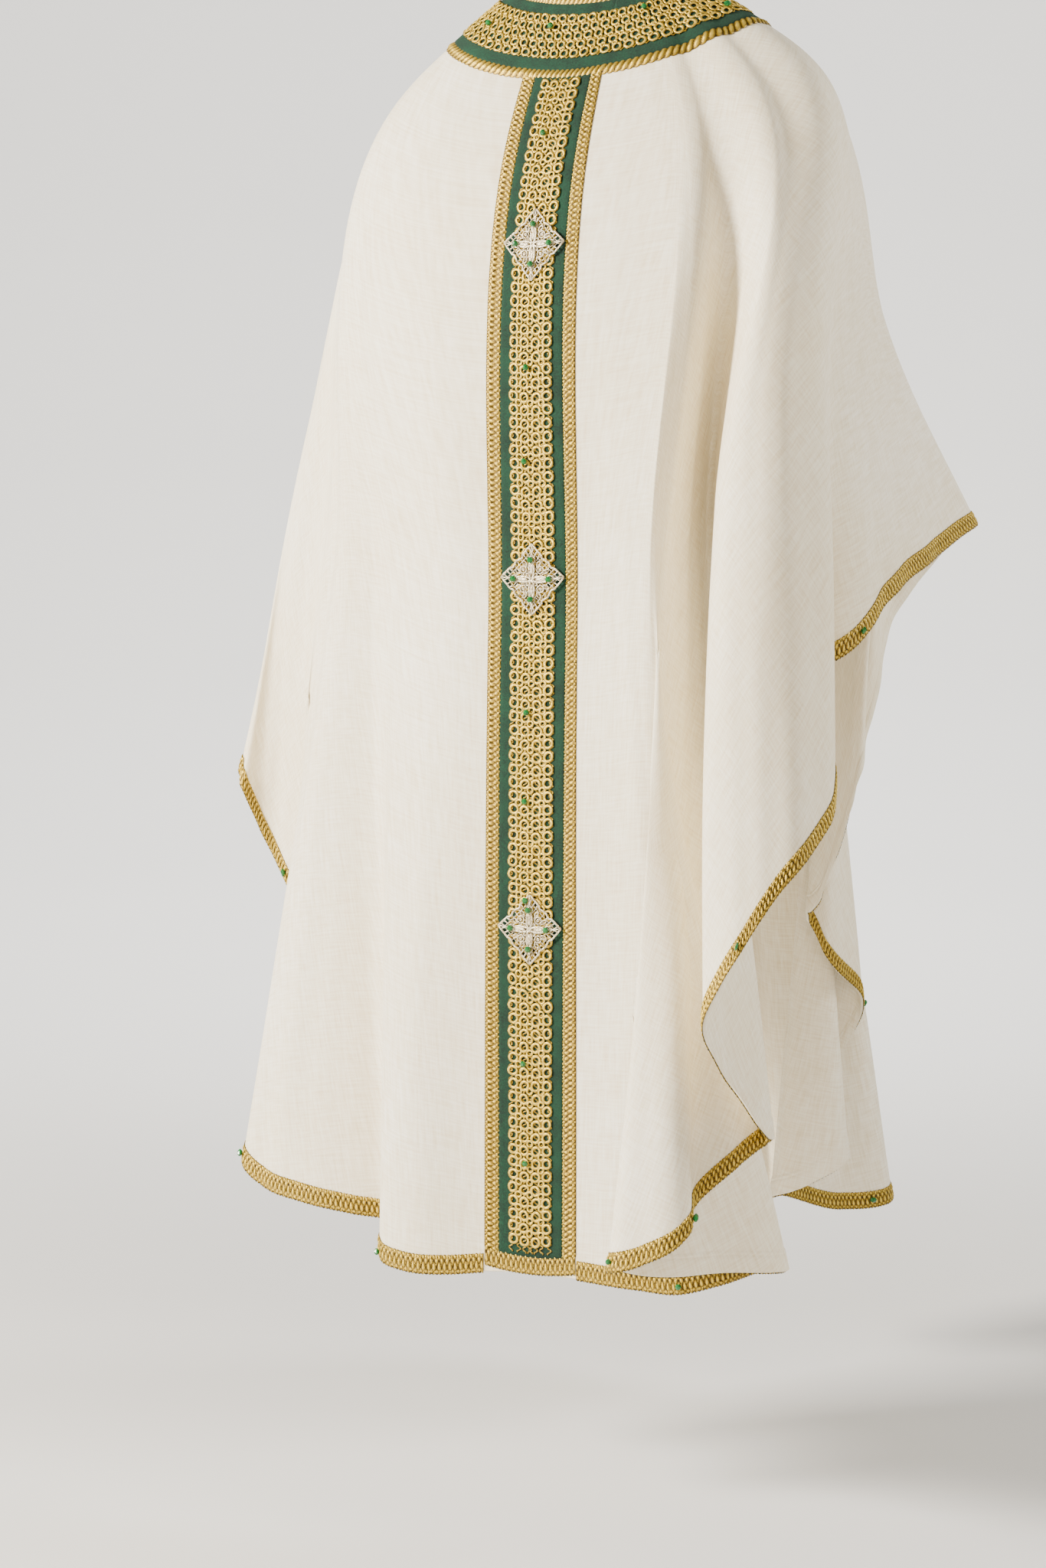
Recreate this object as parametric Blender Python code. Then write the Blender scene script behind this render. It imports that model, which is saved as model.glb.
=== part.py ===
"""Chasuble: two half ovals of cloth with a hole for the neck, worn over shoulders and forearms.

Every piece is a thin wall on one drape. The drape is a set of rays from the neckline, over the
shoulders, to the hem. A ray is a smooth curve through four points: on the neckline ellipse, on the
shoulder line, half way down, and on the hem. The FOLDS tables hold one ray for each ridge, hollow
and turn of the folds, and a smooth curve through each kind of point joins the rays.
Frame: metres, +Z up, the wearer faces -Y, the wearer's left is +X, origin between the shoulders.
"""
import bpy
import numpy as np

MM = 0.001

# Neckline ellipse and shoulder line, metres
NECK_HALF_WIDTH, NECK_BACK, NECK_FRONT = 0.094, 0.050, 0.110
NECK_SIDE_Z, NECK_BACK_Z, NECK_FRONT_Z = 0.016, -0.003, -0.045
SHOULDER_HALF_WIDTH, SHOULDER_BACK, SHOULDER_FRONT = 0.235, 0.128, 0.142
SHOULDER_SIDE_Z, SHOULDER_BACK_Z, SHOULDER_FRONT_Z = -0.085, -0.170, -0.175

# Cloth and trim
CLOTH = 1.8 * MM
HEM_TURNING = 2.8 * MM
SEAM = 0.3 * MM
ORPHREY_HALF = 50.5
VELVET_HALF = 36.0
LACE_HALF = 23.5
YOKE_EDGES = (0.0, 8 * MM, 20 * MM, 70 * MM, 82 * MM, 92 * MM)
HEM_BRAID, STEEPEST = 18 * MM, 0.35
BODY_ROWS, ROW_GROWTH = 8, 1.25
CELL = 0.045
TIGHT_TURN, FOLD_RADIUS, TURN_SHARE = 95.0, 8 * MM, 0.12
BRAID = 1.5 * MM
YOKE_GAP, YOKE_TOLERANCE = 0.7 * MM, 0.3 * MM
ORPHREY_BEARING, NECK_ORPHREY = 11.4, 27.0

# Lower and upper face of each trim above the cloth, and above YOKE_GAP for the yoke's
VELVET_LAYER, LACE_LAYER = (0.3 * MM, 1.3 * MM), (1.6 * MM, 2.8 * MM)
ORPHREY_BRAID_LAYER = (0.3 * MM, 2.3 * MM)
YOKE_VELVET_LAYER, YOKE_LACE_LAYER = (0.0, 1.0 * MM), (1.5 * MM, 2.7 * MM)
NECK_BRAID_LAYER, YOKE_BRAID_LAYER = (0.0, 2.0 * MM), (0.0, 2.2 * MM)

# Diamonds on the orphrey: half diagonal, thickness, height of the seat over the lace's line that
# keeps the flat plate clear of the lace's bulge, and distance of each from the neckline
DIAMOND_HALF = 34 * MM
DIAMOND_PLATE, DIAMOND_SEAT = 1.4 * MM, 3.2 * MM
DIAMONDS = {"upper": 0.262, "middle": 0.580, "lower": 0.918}

# Corners of a quarter of the diamond, in half diagonals: across, down
DIAMOND_STEPS = (
    (1.0, 0.0), (0.80, 0.14), (0.74, 0.32), (0.52, 0.42), (0.42, 0.52), (0.32, 0.74), (0.14, 0.80))

# Columns: ray, bearing from centre back in degrees (wearer's right is positive), how far the
# shoulder line stands out, half-way point x y z, hem point x y z; all lengths in millimetres.
BACK_FOLDS = (
    ("left arm tip", -105, -8, 290, -120, -330, 280, -290, -535),
    ("left arm edge front", -102, -11, 312, -95, -345, 325, -230, -565),
    ("left arm edge middle", -99, -14, 326, -70, -365, 372, -150, -615),
    ("left arm edge back", -95.5, -17, 337, -40, -385, 405, -50, -695),
    ("left arm side", -92, -18, 343, -8, -405, 412, 25, -776),
    ("left arm back", -88, -18, 342, 8, -430, 392, 18, -842),
    ("left arm fold", -85, -18, 335, 15, -455, 368, 15, -888),
    ("left hollow top", -82, -18, 322, 18, -485, 332, 27, -936),
    ("left hollow", -79, -17, 310, 24, -515, 302, 50, -992),
    ("left hollow foot", -76, -15, 302, 38, -542, 316, 84, -1070),
    ("outer left ridge", -73, -11, 290, 48, -565, 362, 98, -1163),
    ("outer left face", -69, -8, 275, 66, -578, 330, 130, -1188),
    ("outer left middle", -65, -6, 262, 76, -585, 275, 132, -1200),
    ("outer left back", -61, -5, 245, 78, -590, 222, 122, -1209),
    ("left valley", -56, -5, 226, 76, -594, 180, 104, -1217),
    ("left valley side", -49, 0, 195, 98, -600, 168, 135, -1229),
    ("inner left ridge", -42, 4, 162, 124, -603, 167, 166, -1239),
    ("inner left face", -33, 4, 122, 140, -606, 137, 176, -1246),
    ("left of orphrey", -23, 2, 82, 146, -608, 86, 166, -1247),
    ("orphrey left", -11.4, 0, 50, 148, -609, 50.5, 156, -1243),
    ("centre back", 0, 0, 0, 148, -610, 0, 153, -1240),
    ("orphrey right", 11.4, 0, -50, 148, -606, -50.5, 153, -1240),
    ("right of orphrey", 21, 4, -81, 153, -597, -117, 159, -1241),
    ("under fold middle", 27, 8, -107, 159, -588, -162, 159, -1242),
    ("under fold side", 31.5, 9, -125, 161, -583, -192, 138, -1234),
    ("under fold turn", 33.5, 10, -133, 159, -581, -240, 69, -1225),
    ("inside face", 34.8, 10, -136, 157, -579, -206, 159, -1215),
    ("inside face end", 35.7, 10, -138, 154, -577, -160, 213, -1213),
    ("first fold edge", 36.6, 9, -140, 150, -575, -122, 235, -1207),
    ("first fold face", 38.4, 6, -142, 141, -568, -166, 241, -1195),
    ("first fold belly", 39.7, 3, -144, 123, -560, -200, 224, -1173),
    ("first fold dip", 41.3, -2, -143, 98, -551, -198, 196, -1144),
    ("first fold side", 43, -4, -143, 73, -540, -227, 171, -1111),
    ("deep valley", 45.6, -2, -149, 64, -526, -254, 140, -1085),
    ("deep valley side", 48.5, 8, -172, 103, -508, -236, 200, -1026),
    ("great fold edge", 51.5, 18, -193, 149, -486, -227, 243, -970),
    ("great fold face", 56.5, 16, -223, 167, -447, -267, 251, -893),
    ("great fold middle", 62, 2, -253, 152, -419, -301, 217, -828),
    ("great fold side", 70, 8, -269, 110, -398, -312, 161, -788),
    ("great fold back", 80, 6, -269, 59, -379, -296, 102, -740),
    ("arm hollow", 86, 0, -250, 24, -362, -256, 66, -687),
    ("arm hollow turn", 90, -2, -242, 6, -350, -236, 48, -659),
    ("arm fold", 92, 0, -245, -3, -344, -241, 23, -647),
    ("right arm back", 95, 0, -249, -13, -337, -259, 11, -639),
    ("right arm side", 98, -2, -255, -41, -323, -277, -68, -586),
    ("right arm edge", 102, -4, -257, -72, -312, -284, -180, -545),
    ("right arm tip", 105, -6, -258, -102, -310, -280, -290, -517),
)
FRONT_RIGHT_FOLDS = (
    ("inner edge top", 109, -4, -250, -125, -330, -240, -303, -543),
    ("inner edge", 112, -2, -236, -142, -355, -205, -285, -592),
    ("inner edge foot", 115, 0, -222, -160, -385, -190, -252, -680),
    ("cascade one", 118, 0, -210, -180, -415, -176, -238, -773),
    ("cascade one side", 122, 0, -180, -198, -455, -154, -241, -855),
    ("cascade one turn", 126, 0, -158, -208, -495, -117, -246, -924),
    ("cascade two", 130, 0, -148, -216, -525, -128, -273, -977),
    ("cascade two turn", 134, 0, -142, -224, -550, -138, -351, -1036),
    ("cascade two inside", 138, 0, -132, -236, -570, -101, -354, -1100),
    ("cascade three turn", 142, 0, -122, -246, -590, -80, -322, -1142),
    ("cascade three edge", 146, 0, -112, -266, -608, -131, -327, -1199),
    ("cascade three inside", 150, 0, -104, -275, -622, -106, -284, -1221),
    ("cascade four turn", 154, 0, -96, -284, -632, -60, -283, -1240),
    ("cascade four face", 158, 2, -92, -300, -642, -92, -401, -1272),
    ("front fold edge", 162, 4, -90, -312, -650, -139, -458, -1267),
    ("front fold face", 166, 4, -76, -322, -655, -120, -478, -1264),
    ("front valley", 171, 0, -50, -326, -660, -80, -462, -1270),
    ("front ridge", 175.5, 2, -25, -322, -662, -40, -470, -1276),
)
CENTRE_FRONT = ("centre front", 180, 0, 0, -328, -664, 0, -462, -1278)

# Hidden left front, wider and plainer than the right one: it hangs from the other arm in full folds
FRONT_LEFT_FOLDS = (
    ("left ridge one", 185, 2, 36, -340, -664, 66, -502, -1276),
    ("left hollow one", 190, 0, 62, -300, -662, 86, -420, -1270),
    ("left ridge two", 196, 3, 100, -338, -656, 148, -482, -1260),
    ("left hollow two", 202, 0, 118, -280, -646, 148, -374, -1244),
    ("left ridge three", 209, 3, 162, -310, -630, 220, -424, -1212),
    ("left hollow three", 216, 0, 166, -246, -606, 200, -322, -1160),
    ("left ridge four", 224, 2, 208, -256, -568, 258, -346, -1080),
    ("left hollow four", 232, 0, 214, -206, -516, 246, -286, -970),
    ("left ridge five", 239, -2, 236, -186, -462, 250, -268, -850),
    ("left edge foot", 245, -4, 254, -160, -405, 240, -262, -720),
    ("left edge middle", 249, -5, 268, -145, -370, 236, -270, -630),
    ("left edge top", 252, -7, 280, -132, -348, 250, -292, -566),
)

IVORY = (0.86, 0.80, 0.66)
SILVER_GOLD = (0.83, 0.78, 0.62)

# Finishes of the trims: colour, roughness, metallic
GOLD_THREAD = ((0.62, 0.43, 0.12), 0.45, 0.8)
GREEN_PILE = ((0.004, 0.075, 0.035), 0.9, 0.0)

for thing in list(bpy.data.objects):
    bpy.data.objects.remove(thing, do_unlink=True)


def smooth(at, values, where):
    """A curve with no corner through values at the places at: cubic pieces, parabola slopes."""
    at, values = np.asarray(at, float), np.asarray(values, float)
    step = np.diff(at)
    slope = np.diff(values, axis=0) / step.reshape((-1,) + (1,) * (values.ndim - 1))
    weight = (step[1:] / (step[:-1] + step[1:])).reshape((-1,) + (1,) * (values.ndim - 1))
    inner = slope[:-1] * weight + slope[1:] * (1 - weight)
    tangent = np.concatenate([slope[:1], inner, slope[-1:]])
    k = np.clip(np.searchsorted(at, where, side="right") - 1, 0, len(step) - 1)
    h = step[k]
    t = (where - at[k]) / h
    shape = (-1,) + (1,) * (values.ndim - 1)
    h, t = h.reshape(shape), t.reshape(shape)
    a, b = values[k], values[k + 1]
    rise = 3 * t ** 2 - 2 * t ** 3
    return (a * (1 - rise) + b * rise
            + h * tangent[k] * (t - 2 * t ** 2 + t ** 3)
            + h * tangent[k + 1] * (t ** 3 - t ** 2))


def ring_point(bearing, half_width, back, front, side_z, back_z, front_z, relief):
    """A point on an oval round the neck, at a bearing in radians from the centre back."""
    s, c = np.sin(bearing), np.cos(bearing)
    depth = np.where(c > 0, back, front)
    end_z = np.where(c > 0, back_z, front_z)
    out = 1 + relief / half_width
    return np.stack([-half_width * out * s, depth * out * c,
                     side_z + (end_z - side_z) * c ** 2], axis=-1)


def rounded(names, table):
    """The closed table with each tight turn of the hem opened into a round end of two rays."""
    hem = table[:, 5:8]
    before, after = np.roll(table, 1, axis=0), np.roll(table, -1, axis=0)
    before[0, 0] -= 360
    after[-1, 0] += 360
    behind, ahead = (hem - before[:, 5:8])[:, :2], (after[:, 5:8] - hem)[:, :2]
    cosine = (behind * ahead).sum(-1) / np.linalg.norm(behind, axis=-1) / np.linalg.norm(ahead, axis=-1)
    new_names, rows = [], []
    for k, name in enumerate(names):
        if cosine[k] > np.cos(np.radians(TIGHT_TURN)):
            new_names.append(name)
            rows.append(table[k])
            continue
        across = after[k, 5:8] - before[k, 5:8]
        across[2] = 0
        across *= FOLD_RADIUS / MM / np.linalg.norm(across)
        for neighbour, side in ((before[k], -1), (after[k], 1)):
            row = table[k] + (neighbour - table[k]) * TURN_SHARE
            row[5:8] = hem[k] + side * across
            new_names.append(name if side < 0 else name + ", far side")
            rows.append(row)
    return new_names, np.array(rows)


def stations(names, at):
    """Places of the columns round the hem, and the column of each named ray."""
    places, column = [at[0]], {names[0]: 0}
    for k, length in enumerate(np.diff(at)):
        pair = (names[k], names[(k + 1) % len(names)])
        if pair == ("orphrey left", "centre back"):
            cuts = [1 - VELVET_HALF / ORPHREY_HALF, 1 - LACE_HALF / ORPHREY_HALF]
        elif pair == ("centre back", "orphrey right"):
            cuts = [LACE_HALF / ORPHREY_HALF, VELVET_HALF / ORPHREY_HALF, 1.0]
        else:
            cells = 2 if pair[1].endswith("far side") else max(1, round(length / CELL))
            cuts = [(c + 1) / cells for c in range(cells)]
        places += [at[k] + cut * length for cut in cuts]
        column[pair[1]] = len(places) - 1
    return np.array(places), column


def drape():
    """The cloth's outer face, closed round the body: a grid with a row for each distance from
    the neckline and a column for each place round the hem, and the column of each named ray."""
    ring = BACK_FOLDS + FRONT_RIGHT_FOLDS + (CENTRE_FRONT,) + FRONT_LEFT_FOLDS
    names, table = rounded([row[0] for row in ring], np.array([row[1:] for row in ring], float))
    hem = table[:, 5:8] * MM
    step = np.linalg.norm(np.roll(hem, -1, axis=0) - hem, axis=1)
    at = np.concatenate([[0], np.cumsum(step)])
    places, column = stations(names, at)
    turn = np.array([360.0] + [0.0] * 7)
    table = np.concatenate([table[-2:] - turn, table, table[:2] + turn])
    around = np.concatenate([at[-3:-1] - at[-1], at[:-1], at[:2] + at[-1]])
    values = smooth(around, table, places[:-1])
    bearing, relief = values[:, 0], values[:, 1] * MM
    size = np.abs(bearing)
    spread = NECK_ORPHREY + (size - ORPHREY_BEARING) * (90 - NECK_ORPHREY) / (90 - ORPHREY_BEARING)
    fan = np.where(size < ORPHREY_BEARING, size * NECK_ORPHREY / ORPHREY_BEARING,
                   np.where(size < 90, spread, size)) * np.sign(bearing)
    neck = ring_point(np.radians(fan), NECK_HALF_WIDTH, NECK_BACK, NECK_FRONT,
                      NECK_SIDE_Z, NECK_BACK_Z, NECK_FRONT_Z, 0.0)
    shoulder = ring_point(np.radians(bearing), SHOULDER_HALF_WIDTH, SHOULDER_BACK, SHOULDER_FRONT,
                          SHOULDER_SIDE_Z, SHOULDER_BACK_Z, SHOULDER_FRONT_Z, relief)
    knots = np.stack([neck, shoulder, values[:, 2:5] * MM, values[:, 5:8] * MM], axis=1)
    along = np.roll(knots[:, 3], -1, axis=0) - np.roll(knots[:, 3], 1, axis=0)
    fall = knots[:, 3] - knots[:, 2]
    cosine = (along * fall).sum(-1) / np.linalg.norm(along, axis=-1) / np.linalg.norm(fall, axis=-1)
    band = HEM_BRAID / np.maximum(np.sqrt(1 - cosine ** 2), STEEPEST)
    grid = []
    for ray, width in zip(knots, band):
        chord = np.concatenate([[0], np.cumsum(np.linalg.norm(np.diff(ray, axis=0), axis=1))])
        fine = smooth(chord, ray, np.linspace(0, chord[-1], 160))
        run = np.concatenate([[0], np.cumsum(np.linalg.norm(np.diff(fine, axis=0), axis=1))])
        share = (np.arange(1, BODY_ROWS + 1) / BODY_ROWS) ** ROW_GROWTH
        body = YOKE_EDGES[-1] + (run[-1] - width - YOKE_EDGES[-1]) * share
        wanted = np.concatenate([YOKE_EDGES, body, run[-1:]])
        grid.append(np.stack([np.interp(wanted, run, fine[:, a]) for a in range(3)], axis=-1))
    return np.array(grid).transpose(1, 0, 2), column


def outward(grid):
    """Unit normals of the closed grid, away from the body."""
    down = np.gradient(grid, axis=0)
    along = np.roll(grid, -1, axis=1) - np.roll(grid, 1, axis=1)
    normal = np.cross(down, along)
    return normal / np.linalg.norm(normal, axis=-1, keepdims=True)


def drawn_in(points, edges, amount):
    """The grid with its open edges moved inwards, so that neighbours stay a seam's gap apart."""
    moved = points.copy()
    for axis, first, second in edges:
        old = np.moveaxis(points, axis, 0)
        new = np.moveaxis(moved, axis, 0)
        step = old[second] - old[first]
        new[first] += step / np.linalg.norm(step, axis=-1, keepdims=True) * amount
    return moved


TOP, BOTTOM, START, END = (0, 0, 1), (0, -1, -2), (1, 0, 1), (1, -1, -2)


def wall(outer, inner, closed=False):
    """Vertices and triangles of a wall between two grids; closed joins last column to first."""
    rows, columns = outer.shape[:2]
    vertices = np.concatenate([outer.reshape(-1, 3), inner.reshape(-1, 3)])
    shift = rows * columns
    number = np.arange(shift).reshape(rows, columns)
    if closed:
        number = np.concatenate([number, number[:, :1]], axis=1)
    a, b = number[:-1, :-1].ravel(), number[:-1, 1:].ravel()
    c, d = number[1:, 1:].ravel(), number[1:, :-1].ravel()
    front = np.concatenate([np.stack([a, d, c], 1), np.stack([a, c, b], 1)])
    faces = [front, front[:, ::-1] + shift]

    def rim(line):
        p, q = line[:-1], line[1:]
        return [np.stack([p, q, q + shift], 1), np.stack([p, q + shift, p + shift], 1)]

    faces += rim(number[0]) + rim(number[-1][::-1])
    if not closed:
        faces += rim(number[::-1, 0]) + rim(number[:, -1])
    return vertices, np.concatenate(faces)


def material(name, colour, roughness, metallic):
    """A plain surface with one colour."""
    made = bpy.data.materials.new(name)
    made.use_nodes = True
    surface = made.node_tree.nodes["Principled BSDF"]
    surface.inputs["Base Color"].default_value = (*colour, 1.0)
    surface.inputs["Roughness"].default_value = roughness
    surface.inputs["Metallic"].default_value = metallic
    return made


def add_piece(name, shape, colour, roughness=0.8, metallic=0.0):
    """One named object from its vertices and faces."""
    vertices, faces = shape
    mesh = bpy.data.meshes.new(name)
    mesh.from_pydata(vertices.tolist(), [], faces.tolist())
    mesh.validate()
    mesh.materials.append(material(name, colour, roughness, metallic))
    piece = bpy.data.objects.new(name, mesh)
    bpy.context.scene.collection.objects.link(piece)


def panel(name, grid, normal):
    """A cloth panel: a wall that is thicker where the hem is turned up inside."""
    depth = np.full(grid.shape[:2] + (1,), CLOTH)
    depth[-2:] = HEM_TURNING
    outer = drawn_in(grid, (START, END), SEAM / 2)
    inner = drawn_in(grid - normal * depth, (START, END), SEAM / 2)
    add_piece(name, wall(outer, inner), IVORY)


def strip(name, rows, columns, layer, finish):
    """A trim on the back or front panel, from its points, between two heights above the cloth."""
    grid, normal = rows
    low, high = layer
    part, away = grid[columns], normal[columns]
    edges = (TOP, BOTTOM, START, END)
    outer = drawn_in(part + away * high, edges, SEAM / 2)
    inner = drawn_in(part + away * low, edges, SEAM / 2)
    add_piece(name, wall(outer, inner), *finish)


def thinned(lines, tolerance):
    """Columns to keep so that straight chords stay close to every line of a closed ring."""
    count = lines.shape[1]
    kept, start = [0], 0
    while start < count - 1:
        stop = start + 1
        while stop + 1 < count:
            trial = stop + 1
            first, last = lines[:, start:start + 1], lines[:, trial:trial + 1]
            along = last - first
            if trial == count - 1 and start == 0:
                break
            between = lines[:, start + 1:trial] - first
            share = (between * along).sum(-1) / (along * along).sum(-1)
            off = np.linalg.norm(between - share[..., None] * along, axis=-1)
            if off.max() > tolerance:
                break
            stop = trial
        kept.append(stop)
        start = stop
    return kept[:-1] if kept[-1] == count - 1 else kept


def diamond(name, grid, normal, distance):
    """A flat stepped diamond on the orphrey: square on its point, with four small steps a side."""
    middle = grid.shape[1] // 2
    run = np.concatenate([[0], np.cumsum(np.linalg.norm(np.diff(grid[:, middle], axis=0), axis=1))])
    reach = np.linspace(distance - DIAMOND_HALF, distance + DIAMOND_HALF, 9)
    side = [np.stack([np.interp(reach, run, grid[:, edge, a]) for a in range(3)], axis=-1) for edge in (2, 3)]
    across = (side[1] - side[0])[4] / np.linalg.norm((side[1] - side[0])[4])
    down = (side[0] + side[1])[-1] - (side[0] + side[1])[0]
    down -= across * np.dot(across, down)
    down /= np.linalg.norm(down)
    away = np.cross(down, across)
    centre = (side[0] + side[1])[4] / 2
    lift = max(((line - centre) @ away).max() for line in side)
    outline = []
    for quarter in range(4):
        turn = np.pi / 2 * quarter
        for u, v in DIAMOND_STEPS:
            outline.append((u * np.cos(turn) - v * np.sin(turn), u * np.sin(turn) + v * np.cos(turn)))
    outline = np.array(outline) * DIAMOND_HALF
    flat = centre + outline[:, :1] * across + outline[:, 1:] * down
    count = len(flat)
    low = lift + DIAMOND_SEAT
    high = low + DIAMOND_PLATE
    vertices = np.concatenate([flat + away * high, flat + away * low,
                               [centre + away * high, centre + away * low]])
    i = np.arange(count)
    j = (i + 1) % count
    top = np.stack([i, j, np.full(count, 2 * count)], 1)
    under = np.stack([j + count, i + count, np.full(count, 2 * count + 1)], 1)
    side = np.concatenate([np.stack([j, i, i + count], 1), np.stack([j, i + count, j + count], 1)])
    faces = np.concatenate([top, under, side])
    if np.dot(np.cross(flat[1] - flat[0], centre - flat[0]), away) < 0:
        faces = faces[:, ::-1]
    add_piece(name, (vertices, faces), SILVER_GOLD, 0.3, 0.9)


cloth, column = drape()
cloth_normal = outward(cloth)
right_tip = column["right arm tip"]
back, back_normal = cloth[:, :right_tip + 1], cloth_normal[:, :right_tip + 1]
round_front = list(range(right_tip, cloth.shape[1])) + [0]
front, front_normal = cloth[:, round_front], cloth_normal[:, round_front]

panel("back_panel", back, back_normal)
panel("front_panel", front, front_normal)

# Gold galloon on the outer side of the hem, in three runs
left_edge, right_edge = column["orphrey left"], column["orphrey right"]
back_rows, front_rows = (back, back_normal), (front, front_normal)
hem = slice(-2, None)
for name, rows, columns in (
        ("hem_braid_back_left", back_rows, slice(0, left_edge + 1)),
        ("hem_braid_back_right", back_rows, slice(right_edge, None)),
        ("hem_braid_front", front_rows, slice(None))):
    strip(name, rows, (hem, columns), (SEAM, SEAM + BRAID), GOLD_THREAD)

# Orphrey down the centre back: velvet, lace on it, a braid along each side and one across the foot
down = slice(len(YOKE_EDGES) - 1, -1)
velvet_columns = slice(left_edge + 1, left_edge + 5)
lace_columns = slice(left_edge + 2, left_edge + 4)
left_braid_columns = slice(left_edge, left_edge + 2)
right_braid_columns = slice(left_edge + 4, left_edge + 6)
orphrey_columns = slice(left_edge, left_edge + 6)
strip("orphrey_velvet", back_rows, (down, velvet_columns), VELVET_LAYER, GREEN_PILE)
strip("orphrey_lace", back_rows, (down, lace_columns), LACE_LAYER, GOLD_THREAD)
strip("orphrey_braid_left", back_rows, (down, left_braid_columns), ORPHREY_BRAID_LAYER, GOLD_THREAD)
strip("orphrey_braid_right", back_rows, (down, right_braid_columns), ORPHREY_BRAID_LAYER, GOLD_THREAD)
strip("orphrey_braid_foot", back_rows, (hem, orphrey_columns), ORPHREY_BRAID_LAYER, GOLD_THREAD)
for place, distance in DIAMONDS.items():
    diamond("diamond_" + place, back[:, orphrey_columns], back_normal[:, orphrey_columns], distance)

# Yoke round the neck: rings over both panels, on a thinned set of their columns
ring, ring_normal = cloth[:len(YOKE_EDGES)], cloth_normal[:len(YOKE_EDGES)]
kept = thinned(np.concatenate([ring, ring[:, :1]], axis=1), YOKE_TOLERANCE)
ring, ring_normal = ring[:, kept], ring_normal[:, kept]
for name, first, last, (low, high), finish in (
        ("yoke_neck_braid", 0, 1, NECK_BRAID_LAYER, GOLD_THREAD),
        ("yoke_velvet", 1, 4, YOKE_VELVET_LAYER, GREEN_PILE),
        ("yoke_lace", 2, 3, YOKE_LACE_LAYER, GOLD_THREAD),
        ("yoke_edge_braid", 4, 5, YOKE_BRAID_LAYER, GOLD_THREAD)):
    rows = slice(first, last + 1)
    edges = (TOP, BOTTOM)
    outer = drawn_in(ring[rows] + ring_normal[rows] * (YOKE_GAP + high), edges, SEAM / 2)
    inner = drawn_in(ring[rows] + ring_normal[rows] * (YOKE_GAP + low), edges, SEAM / 2)
    add_piece(name, wall(outer, inner, closed=True), *finish)
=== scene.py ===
import bpy
import numpy as np
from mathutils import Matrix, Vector


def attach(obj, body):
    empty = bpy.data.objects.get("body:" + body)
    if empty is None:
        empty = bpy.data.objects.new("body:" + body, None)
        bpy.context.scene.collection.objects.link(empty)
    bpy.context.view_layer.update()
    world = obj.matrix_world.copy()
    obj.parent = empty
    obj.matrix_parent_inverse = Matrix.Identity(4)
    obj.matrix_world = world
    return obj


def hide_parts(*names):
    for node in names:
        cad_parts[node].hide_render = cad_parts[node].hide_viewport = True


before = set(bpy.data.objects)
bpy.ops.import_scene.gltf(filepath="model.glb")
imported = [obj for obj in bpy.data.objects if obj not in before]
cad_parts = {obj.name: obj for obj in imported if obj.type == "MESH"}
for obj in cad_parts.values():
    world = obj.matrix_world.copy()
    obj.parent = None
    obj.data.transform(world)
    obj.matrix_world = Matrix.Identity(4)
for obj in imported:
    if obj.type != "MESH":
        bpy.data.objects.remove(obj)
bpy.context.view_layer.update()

MM = 0.001

# The drape: how the cloth hangs when the garment is worn.
# Two half ovals of cloth meet at the shoulders, fall from the neck and are lifted by both forearms.
# One closed surface carries them and every trim. A row here is one ridge, hollow or turn of the
# folds: ray, bearing from centre back in degrees, how far it stands out at the shoulder line,
# half-way point x y z, hem point x y z, all lengths in millimetres.
NECK_HALF_WIDTH, NECK_BACK, NECK_FRONT = 0.094, 0.050, 0.110
NECK_SIDE_Z, NECK_BACK_Z, NECK_FRONT_Z = 0.016, -0.003, -0.045
SHOULDER_HALF_WIDTH, SHOULDER_BACK, SHOULDER_FRONT = 0.235, 0.128, 0.142
SHOULDER_SIDE_Z, SHOULDER_BACK_Z, SHOULDER_FRONT_Z = -0.085, -0.170, -0.175
ORPHREY_BEARING, NECK_ORPHREY = 11.4, 27.0
TIGHT_TURN, FOLD_RADIUS, TURN_SHARE = 95.0, 8 * MM, 0.12

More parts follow.
